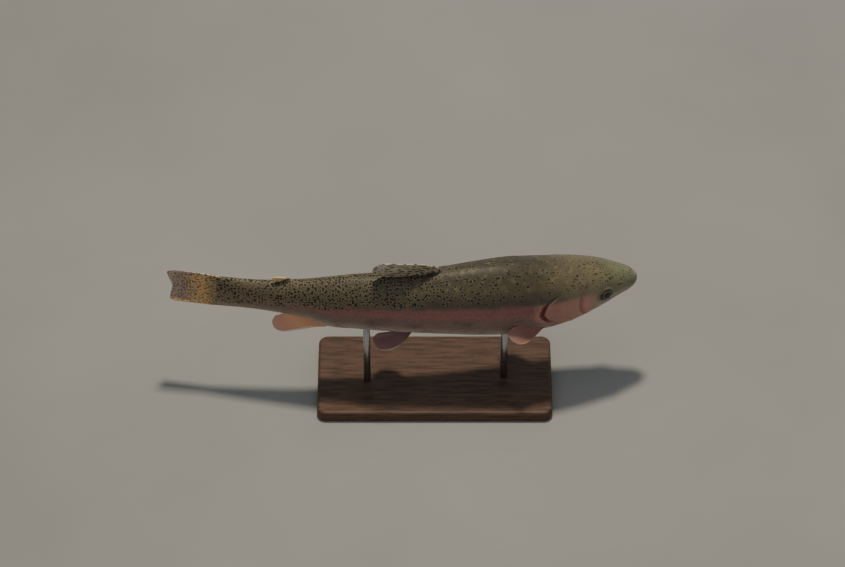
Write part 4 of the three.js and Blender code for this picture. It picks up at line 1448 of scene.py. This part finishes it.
# %% [markdown]
# The spots are few and small on the shoulder and crowd the whole side of the stalk. Short ramps
# along the body say how many cells have one, how big they are, and how far down the side they go.
# The crown has finer freckles of its own.

# %% Spots of the body
# cells in mm, radii as shares of a cell
SPOT_CELL, SPOT_LEAST, SPOT_MOST = 3.7, 0.20, 0.42
FRECKLE_CELL, FRECKLE_SHARE, FRECKLE_LEAST, FRECKLE_MOST = 3.3, 0.50, 0.16, 0.31
SPOTS_ALONG = [(0.0, 0.0), (0.05, 0.04), (0.17, 0.16), (0.30, 0.31), (0.40, 0.54), (0.48, 0.86),
               (0.60, 0.98)]
SPOT_SIZE_ALONG = [(0.10, 0.78), (0.34, 0.92), (0.55, 1.02)]
SPOTS_DOWN_TO = [(0.10, 0.30), (0.25, 0.37), (0.42, 0.385), (0.58, 0.42), (0.66, 0.49), (0.74, 0.56),
                 (0.86, 0.76)]


def by_length(add, stops):
    """A function that reads a ramp along the body at a cell's own place."""
    def read(cell):
        cell_t = add("ShaderNodeSeparateXYZ", (cell,))
        share = add("ShaderNodeMath", (cell_t, TOTAL_LENGTH), operation="DIVIDE")
        return add("ShaderNodeValToRGB", (share,), stops=stops)
    return read


def body_spots(add, body):
    mark, rim = spots(add, body.flat, SPOT_CELL, by_length(add, SPOTS_ALONG), SPOT_LEAST, SPOT_MOST,
                      by_length(add, SPOT_SIZE_ALONG), rimmed=True)
    limit = add("ShaderNodeValToRGB", (body.share,), stops=SPOTS_DOWN_TO)
    above_limit = add("ShaderNodeMath", (limit, body.girth), operation="SUBTRACT")
    above_limit = area(add, (above_limit, -0.02, 0.03))
    freckle, _ = spots(add, body.flat, FRECKLE_CELL, lambda cell: FRECKLE_SHARE, FRECKLE_LEAST, FRECKLE_MOST)
    on_crown = area(add, (body.t, 96, 80), (body.girth, 0.36, 0.30))
    freckle = area(add, freckle, on_crown, 0.75)
    mark = add("ShaderNodeMath", (area(add, mark, above_limit), freckle), operation="MAXIMUM")
    return mark, area(add, rim, above_limit)


print("spots about", round(2 * SPOT_MOST * SPOT_CELL, 1), "mm at most")

# %% [markdown]
# ## Finishes of the body
#
# Wet trout skin is slimy, so it shines softly and has no hard mirror. A medium roughness and a thin
# coat give that. A scale is clear and shows the colour under it, so the coat has the skin's own
# markings. Each scale is a little lighter or darker than the next, and its free rim is darker. The
# bare skin of the head has fine specks and pale bones, and the shade in its folds and pits is
# painted dark. Its rear is darkened toward the coat, partly for the scales' darker rims and partly
# as painted shade like that between the scales. Sizes of patterns are in mm. The grain of the slime
# is finer than the render can show, so it is drawn about 1 mm coarse.

# %% Skin and scale materials
FINE_SIZE, SPECK_SIZE, PORE_SIZE = 0.7, 1.7, 1.1


def scale_details(add, tint):
    chance = add("ShaderNodeAttribute", out="Fac", attribute_name="chance")
    light = add("ShaderNodeValToRGB", (chance,), stops=[(0.0, 0.32), (1.0, 0.68)])
    tint = glaze(add, tint, light, 0.30, kind="SOFT_LIGHT")
    local = add("ShaderNodeAttribute", out="Vector", attribute_name="local")
    local = add("ShaderNodeSeparateXYZ", (local,), out=None)
    tint = glaze(add, tint, "#3a3122", (local["X"], 3.1, 3.9), 0.22)
    aside = add("ShaderNodeMath", (local["Y"],), operation="ABSOLUTE")
    line = add("ShaderNodeAttribute", out="Fac", attribute_name="line")
    return glaze(add, tint, "#4c3d31", line, (aside, 0.75, 0.35), 0.4)


def bare_details(add, body, tint):
    # the rear of the bare skin is darkened to meet the coat: partly the scales' darker rims, partly painted
    # shade like that between the scales
    tint = glaze(add, tint, "#3a3122", (body.t, 60, 98, 0.20))
    speck = add("ShaderNodeTexNoise", {"Vector": body.flat, "Scale": 1 / SPECK_SIZE, "Detail": 2.0,
                                       "Roughness": 0.6})
    tint = glaze(add, tint, "#a09a78", (speck, 0.54, 0.74, 0.30))
    # dark is the shade of the head's grooves and pits, painted dark
    for key, over, strength in (("pale", "#b3ab8c", 0.7), ("ridge_line", "#9a5148", 0.55),
                                ("dark", "#2b211a", 0.85), ("slit", "#5c1d18", 0.85)):
        tint = glaze(add, tint, over, add("ShaderNodeAttribute", out="Fac", attribute_name=key), strength)
    return tint


def trout_finish(name, scaled):
    """The one set of markings, for the bare skin and for the coat of scales."""
    finish, add, shader = new_finish(name, Roughness=0.58, Metallic=0.05, Coat_Weight=0.04,
                                     Coat_Roughness=0.35, Specular_IOR_Level=0.30)
    body = body_readings(add)
    tint = rose_parts(add, body, patches(add, body, ground_colours(add, body)))
    mark, rim = body_spots(add, body)
    rim_strength = add("ShaderNodeMath", (area(add, (body.t, 130, 290, 0.20)), 0.10), operation="ADD")
    tint = glaze(add, tint, "#a3926a", rim, rim_strength)
    tint = glaze(add, tint, "#14110f", mark, 0.97)
    fine = add("ShaderNodeTexNoise", {"Vector": body.flat, "Scale": 1 / FINE_SIZE, "Detail": 2.0,
                                      "Roughness": 0.6})
    tint = glaze(add, tint, "#2c2618", (fine, 0.60, 0.75), 0.25)
    tint = scale_details(add, tint) if scaled else bare_details(add, body, tint)
    height = add("ShaderNodeTexNoise", {"Vector": body.flat, "Scale": 1 / PORE_SIZE, "Detail": 3.0,
                                        "Roughness": 0.6})
    normal = add("ShaderNodeBump", {"Height": height, "Strength": 0.25, "Distance": 0.00012})
    return dress(finish, shader, tint, normal)


wet_skin = trout_finish("wet_trout_skin", False)
wet_scales = trout_finish("wet_trout_scales", True)
skin.data.materials.append(wet_skin)
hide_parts("head", "lower_jaw", "upper_jaw_left", "upper_jaw_right", "gill_cover_left",
            "gill_cover_right", "trunk_front", "trunk_middle", "trunk_rear", "tail_stalk")
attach(skin, "root")
print("skin nodes:", len(wet_skin.node_tree.nodes))

# %% [markdown]
# The coat is laid in four long strips, back and belly on each side, so that no piece is too heavy.
# The seams run between two rows of scales and can't be seen, because the rows overlap along the
# fish and not across them.

# %% Lay the scales
BACK_TO_BELLY = 0.46

coat = []
for hand, side_sign in (("left", 1), ("right", -1)):
    for part, low, high in (("back", 0.0, BACK_TO_BELLY), ("belly", BACK_TO_BELLY, 1.01)):
        chosen = (roots["girth"] * side_sign > low) & (roots["girth"] * side_sign <= high)
        strip = lay_scales(f"scales_{hand}_{part}", chosen, wet_scales)
        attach(strip, "root")
        coat.append(strip)
bpy.data.objects.remove(plate)
print("coat:", sum(triangles(c) for c in coat), "triangles")

# %% [markdown]
# ## Finishes of the fins
#
# The dorsal, adipose and tail fins are golden olive with dark spots in rows along their rays. The
# lower fins are a duller red orange, with a pale front edge. The web between the rays is darker
# than the rays. A real web is a little see-through, but then the thick plate would show its inside,
# so it is painted solid, and the dorsal web is painted lighter than its own colour for the light
# that shines through it. The cells of the spots follow the rays, which the even cells of the body
# couldn't do.

# %% Fin materials
FIN_PATCH, FIN_GRAIN = 7.0, 0.8
RAY_PITCH = 2.4


def fin_spots(add, tint, ray, reach, cell, length, least, most, share):
    """Spots on a flat plane of the fin's own, in mm: RAY_PITCH wide for each ray, and length long."""
    across_rays = add("ShaderNodeMath", (ray, RAY_PITCH), operation="MULTIPLY")
    out_along = add("ShaderNodeMath", (reach, length), operation="MULTIPLY")
    place = add("ShaderNodeCombineXYZ", {"X": across_rays, "Y": out_along})
    mark, _ = spots(add, place, cell, lambda cell_place: share, least, most)
    return glaze(add, tint, "#231d15", mark, 0.82)


def fin_finish(name, web, ray_tint, spotted=None, lead=None, lead_width=0.06, rear=None):
    """web is the colours from root to edge. lead and rear are the colours of those edges."""
    finish, add, shader = new_finish(name, Roughness=0.45, Coat_Weight=0.12, Coat_Roughness=0.2)
    flat = add("ShaderNodeAttribute", out="Vector", attribute_name="flat")
    ray, reach, ridge, across = [add("ShaderNodeAttribute", out="Fac", attribute_name=key)
                                 for key in ("ray", "reach", "ridge", "across")]
    patchy = add("ShaderNodeTexNoise", {"Vector": flat, "Scale": 1 / FIN_PATCH, "Detail": 3.0,
                                        "Roughness": 0.6})
    inward = add("ShaderNodeMath", (reach, 0.12), operation="SUBTRACT")
    uneven = add("ShaderNodeMath", (patchy, 0.24, inward), operation="MULTIPLY_ADD")
    tint = add("ShaderNodeValToRGB", (uneven,), stops=web)
    tint = glaze(add, tint, ray_tint, ridge, 0.45)
    if lead:
        tint = glaze(add, tint, lead, (across, lead_width, lead_width * 0.3), (reach, 0.25, 0.8, 0.9))
    if rear:
        tint = glaze(add, tint, rear, (across, 0.955, 0.985, 0.75), (reach, 0.1, 0.4))
    if spotted:
        tint = fin_spots(add, tint, ray, reach, **spotted)
    grain = add("ShaderNodeTexNoise", {"Vector": flat, "Scale": 1 / FIN_GRAIN, "Detail": 2.0,
                                       "Roughness": 0.6})
    normal = add("ShaderNodeBump", {"Height": grain, "Strength": 0.2, "Distance": 0.00015})
    return dress(finish, shader, tint, normal)


# the dorsal web: golden olive, painted lighter than its own colour for the light that shines through it
golden_web_painted_light = fin_finish("golden_spotted_fin_painted_light", [(0.1, "#8d8068"), (0.45, "#aa9c80"), (0.95, "#c2b69e")],
                    "#c2b696",
                    spotted={"cell": 2.9, "length": 27.0, "least": 0.22, "most": 0.42, "share": 0.88})
tail_web = fin_finish("tail_fin_web", [(0.17, "#84724f"), (0.32, "#be9459"), (0.42, "#cea266"),
                                       (0.56, "#bf9a6c"), (0.78, "#9a7d71"), (0.97, "#b5a08c")], "#c6a775",
                      spotted={"cell": 2.5, "length": 42.0, "least": 0.20, "most": 0.40, "share": 0.95},
                      lead="#f6c67c", lead_width=0.13, rear="#b5a891")
fleshy = fin_finish("adipose_fin_flesh", [(0.1, "#a08a60"), (0.9, "#d2b079")], "#a39263",
                    spotted={"cell": 3.6, "length": 10.0, "least": 0.2, "most": 0.4, "share": 0.45})
orange = fin_finish("orange_anal_fin", [(0.1, "#b8805a"), (0.45, "#d29468"), (0.80, "#c08470"),
                                        (1.0, "#b58a80")], "#dcae8a", lead="#e8e2d4", lead_width=0.16)
dull_red = fin_finish("dull_red_pelvic_fin", [(0.1, "#6a413c"), (0.6, "#653b38"), (0.95, "#754e48")],
                      "#77504a", lead="#b9a48f", lead_width=0.08)
dull_pink = fin_finish("dull_pink_pectoral_fin", [(0.1, "#8a5a48"), (0.6, "#805346"), (0.95, "#8b6759")],
                       "#936b58", lead="#a98f7b", lead_width=0.06)
print("fin finishes:", [m.name for m in (golden_web_painted_light, tail_web, fleshy, orange, dull_red, dull_pink)])

# %% Fins take their places
for piece, finish, node, slot in ((dorsal, golden_web_painted_light, "dorsal_fin", "spotted_fin"),
                                  (tail, tail_web, "tail_fin", "spotted_fin"),
                                  (adipose, fleshy, "adipose_fin", "spotted_fin"),
                                  (anal, orange, "anal_fin", "red_fin")):
    piece.data.materials.append(finish)
    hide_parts(node)
    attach(piece, "root")
for key, piece in paired.items():
    part, hand = key.split("_")
    piece.data.materials.append(dull_red if part == "pelvic" else dull_pink)
    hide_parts(f"{part}_fin_{hand}")
    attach(piece, "root")
print("fins in place:", 4 + len(paired))

# %% [markdown]
# ## Finish of the eyes
#
# A trout's iris is bronze green with dark flecks and a dark outer edge. The pupil is black and
# comes to a small point toward the snout, with a thin pale rim. A clear coat of glass over a painted
# ball needs two shapes and light that passes through. One smooth ball with a glossy coat gives the
# same wet point of light, and the paint goes by the distance from the middle.

# %% Eye material
PUPIL, PUPIL_POINT, IRIS_GRAIN = 3.9, 0.8, 0.9
IRIS = [(0.0, "#5c5642"), (0.58, "#595340"), (0.66, "#403b2f"), (0.76, "#2b2720"), (0.88, "#171512")]


def eye_finish():
    finish, add, shader = new_finish("glass_eye", Roughness=0.12, Coat_Weight=0.5, Coat_Roughness=0.02,
                                     Specular_IOR_Level=0.35)
    look = add("ShaderNodeAttribute", out="Vector", attribute_name="look")
    place = add("ShaderNodeSeparateXYZ", (look,), out=None)
    squares = [add("ShaderNodeMath", (place[axis], 2.0), operation="POWER") for axis in ("X", "Y")]
    far = add("ShaderNodeMath", (add("ShaderNodeMath", squares, operation="ADD"),), operation="SQRT")
    point = area(add, (place["X"], -0.5, -3.4), PUPIL_POINT)
    pupil_edge = add("ShaderNodeMath", (PUPIL, point), operation="ADD")
    out = add("ShaderNodeMath", (far, pupil_edge), operation="SUBTRACT")
    grain = add("ShaderNodeTexNoise", {"Vector": look, "Scale": 1 / IRIS_GRAIN, "Detail": 3.0,
                                       "Roughness": 0.7})
    iris = add("ShaderNodeMath", (far, EYE_RADIUS), operation="DIVIDE")
    iris = add("ShaderNodeValToRGB", (iris,), stops=IRIS)
    iris = glaze(add, iris, "#3f3829", (grain, 0.50, 0.68, 0.7))
    iris = glaze(add, iris, "#4a4733", (place["Y"], 1.8, 4.4, 0.8))
    iris = glaze(add, iris, "#b3a984", (out, 0.55, 0.30), 0.25)
    tint = glaze(add, iris, "#060606", (out, 0.12, -0.12))
    return dress(finish, shader, tint)


glass = eye_finish()
for hand, piece in eyes.items():
    piece.data.materials.append(glass)
    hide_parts("eye_" + hand)
    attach(piece, "root")
print("eyes painted:", glass.name)

# %% [markdown]
# ## The stand
#
# A museum cast stands on a plain block of dark wood, with two bright rods that end just under the
# belly. The measured block and rods could be shown as they are, but sharp edges never catch the
# light. So the block gets a softened moulding inside its measured shape, and the rods are turned
# with a small chamfer at both ends.

# %% Stand
ROD_AROUND, ROD_CHAMFER, ROD_END = 56, 0.0008, 0.82
BASE_CORNER, CORNER_STEPS = 0.010, 12
MOULDING = 0.0022
FOOT = [(1.0, 0.0), (0.25, 0.0012), (0.0, 0.0026)]
TOP_EDGE = [(0.0, 0.0030), (0.18, 0.0017), (0.55, 0.0007), (1.0, 0.0002), (1.6, 0.0)]


def flat_ends(piece, faces):
    """Smooth sides and flat ends: only the four-sided faces are shaded smooth."""
    piece.data.polygons.foreach_set("use_smooth", [len(f) == 4 for f in faces])
    return piece


def turned_rod(name, node):
    low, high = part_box(node)
    x, y = (low[0] + high[0]) / 2, (low[1] + high[1]) / 2
    radius = (high[0] - low[0]) / 2
    profile = [(radius * ROD_END, low[2]), (radius, low[2] + ROD_CHAMFER),
               (radius, high[2] - ROD_CHAMFER), (radius * ROD_END, high[2])]
    angle = np.arange(ROD_AROUND) * 2 * math.pi / ROD_AROUND
    sides = [(x + r * math.cos(a), y + r * math.sin(a), z) for r, z in profile for a in angle]
    faces = lathe_faces(ROD_AROUND, len(profile))
    rod = flat_ends(make_piece(name, [(x, y, low[2]), *sides, (x, y, high[2])], faces), faces)
    turn_outward(rod)
    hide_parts(node)
    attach(rod, "root")
    return rod


def rounded_ring(centre, half, radius, z):
    """Points round a rectangle with rounded corners, at that height."""
    ring = []
    for quarter, (sx, sy) in enumerate(((1, 1), (-1, 1), (-1, -1), (1, -1))):
        c = centre + np.array([sx, sy]) * (half - radius)
        for a in np.linspace(0, math.pi / 2, CORNER_STEPS + 1) + quarter * math.pi / 2:
            ring.append((c[0] + radius * math.cos(a), c[1] + radius * math.sin(a), z))
    return ring


def moulded_base():
    low, high = [np.array(v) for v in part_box("stand_base")]
    half, centre, tall = (high - low)[:2] / 2, (high + low)[:2] / 2, high[2] - low[2]
    profile = FOOT + [(inset, tall - down) for inset, down in TOP_EDGE]
    rings = [rounded_ring(centre, half - inset * MOULDING, BASE_CORNER - inset * MOULDING * 0.6, low[2] + z)
             for inset, z in profile]
    n = len(rings[0])
    faces = [tuple(reversed(range(n)))]
    for i in range(len(rings) - 1):
        a, b = i * n, (i + 1) * n
        faces += [(a + j, a + (j + 1) % n, b + (j + 1) % n, b + j) for j in range(n)]
    faces.append(tuple((len(rings) - 1) * n + j for j in range(n)))
    base = flat_ends(make_piece("wood_base", [p for ring in rings for p in ring], faces), faces)
    turn_outward(base)
    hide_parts("stand_base")
    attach(base, "root")
    return base


rods = [turned_rod("steel_rod_" + part, "stand_rod_" + part) for part in ("front", "rear")]
base = moulded_base()
print("stand:", [triangles(p) for p in (*rods, base)])

# %% [markdown]
# The base is oiled walnut: planed, dark brown, with long grain and fine open pores, and hardly any
# shine. The rods are brushed steel, whose fine rings spread the light along them. Both patterns are
# noise, pulled long by squeezing the other ways, with sizes in metres. The pores and the brush
# marks are drawn coarser than the real ones, so that they show at all.

# %% Stand materials
GRAIN_SQUEEZE, GRAIN_SIZE, WOOD_PORE = 9.0, 0.030, 0.0045
BRUSH_SQUEEZE, BRUSH_SIZE = 14.0, 0.004
WALNUT = [(0.28, "#2f2118"), (0.46, "#4a3526"), (0.60, "#5c4331"), (0.76, "#3b2a1e")]


def walnut_finish():
    finish, add, shader = new_finish("oiled_walnut", Roughness=0.55, Coat_Weight=0.05, Coat_Roughness=0.4,
                                     Specular_IOR_Level=0.3)
    place = add("ShaderNodeTexCoord", out="Object")
    long_way = add("ShaderNodeMapping", {"Vector": place, "Scale": (1.0, GRAIN_SQUEEZE, GRAIN_SQUEEZE)})
    grain = add("ShaderNodeTexNoise", {"Vector": long_way, "Scale": 1 / GRAIN_SIZE, "Detail": 6.0,
                                       "Roughness": 0.62})
    wood_pores = add("ShaderNodeTexNoise", {"Vector": long_way, "Scale": 1 / WOOD_PORE, "Detail": 3.0,
                                            "Roughness": 0.7})
    tint = add("ShaderNodeValToRGB", (grain,), stops=WALNUT)
    tint = glaze(add, tint, "#1f150f", (wood_pores, 0.60, 0.72, 0.5))
    normal = add("ShaderNodeBump", {"Height": wood_pores, "Strength": 0.2, "Distance": 0.0002})
    return dress(finish, shader, tint, normal)


def steel_finish():
    finish, add, shader = new_finish("brushed_steel", Metallic=1.0)
    place = add("ShaderNodeTexCoord", out="Object")
    ring_way = add("ShaderNodeMapping", {"Vector": place, "Scale": (1.0, 1.0, BRUSH_SQUEEZE)})
    streak = add("ShaderNodeTexNoise", {"Vector": ring_way, "Scale": 1 / BRUSH_SIZE, "Detail": 4.0,
                                        "Roughness": 0.6})
    finish.node_tree.links.new(area(add, (streak, -0.6, 2.4)), shader.inputs["Roughness"])
    tint = add("ShaderNodeValToRGB", (streak,), stops=[(0.3, "#a9abad"), (0.7, "#c3c5c6")])
    return dress(finish, shader, tint)


walnut, steel = walnut_finish(), steel_finish()
base.data.materials.append(walnut)
for rod in rods:
    rod.data.materials.append(steel)
print("stand finishes:", walnut.name, steel.name)

# %% [markdown]
# ## Floor and light
#
# The floor is a plain pale grey sheet of matt paper with its top at the height of the feet. It is
# wide enough that no view shows its edge, and its slight cloudiness keeps it from looking empty.

# %% Floor
FLOOR_HALF, CLOUDY_SIZE = 4.0, 0.35


def make_floor():
    corners = [(x * FLOOR_HALF, y * FLOOR_HALF, 0) for x, y in ((-1, -1), (1, -1), (1, 1), (-1, 1))]
    piece = make_piece("floor", corners, [(0, 1, 2, 3)])
    finish, add, shader = new_finish("matt_paper", Roughness=0.85)
    place = add("ShaderNodeTexCoord", out="Object")
    cloudy = add("ShaderNodeTexNoise", {"Vector": place, "Scale": 1 / CLOUDY_SIZE, "Detail": 4.0,
                                        "Roughness": 0.55})
    tint = add("ShaderNodeValToRGB", (cloudy,), stops=[(0.3, "#8b8a85"), (0.7, "#94938d")])
    piece.data.materials.append(dress(finish, shader, tint))
    return piece


floor = make_floor()
print("floor", 2 * FLOOR_HALF, "m wide, at z = 0")

# %% [markdown]
# A trout is seen by sunlight that comes down through clear water. One strong sun lamp of Blender's
# own would cast hard black shadows. So a small bright area lamp overhead casts the soft shadow of
# the dorsal fin on the back, two wide lamps fill the shadows like a pale sky, and a low strip of
# light behind draws the pale line along the crown and the back.

# %% Lamps and sky
AIM_AT = (0, 0, 0.12)


def add_lamp(name, place, size, watts, tint):
    data = bpy.data.lights.new(name, "AREA")
    data.shape = "RECTANGLE"
    data.size, data.size_y = size
    data.energy = watts
    data.color = colour(tint)[:3]
    lamp = bpy.data.objects.new(name, data)
    away = np.array(AIM_AT) - np.array(place)
    tip_down = math.acos(-away[2] / np.linalg.norm(away))
    lamp.location = place
    lamp.rotation_euler = (tip_down, 0, math.atan2(away[1], away[0]) - math.pi / 2)
    bpy.context.scene.collection.objects.link(lamp)
    return lamp


lamps = [
    add_lamp("sun_lamp", (0.0, 0.30, 2.4), (0.20, 0.20), 48, "#fff3e0"),
    add_lamp("sky_lamp", (0.3, -0.5, 2.3), (2.4, 1.6), 8, "#f8f7f0"),
    add_lamp("front_fill", (-0.5, -2.4, 1.3), (1.8, 1.2), 12.5, "#e2e9fa"),
    add_lamp("rim_lamp", (0.35, 1.5, 0.40), (1.6, 0.25), 4, "#e6eef4"),
]
sky = bpy.data.worlds.new("soft_sky")
bpy.context.scene.world = sky
sky.use_nodes = True
sky.node_tree.nodes["Background"].inputs["Color"].default_value = colour("#c4cdd9")
sky.node_tree.nodes["Background"].inputs["Strength"].default_value = 0.24
print("lamps:", [lamp.name for lamp in lamps])
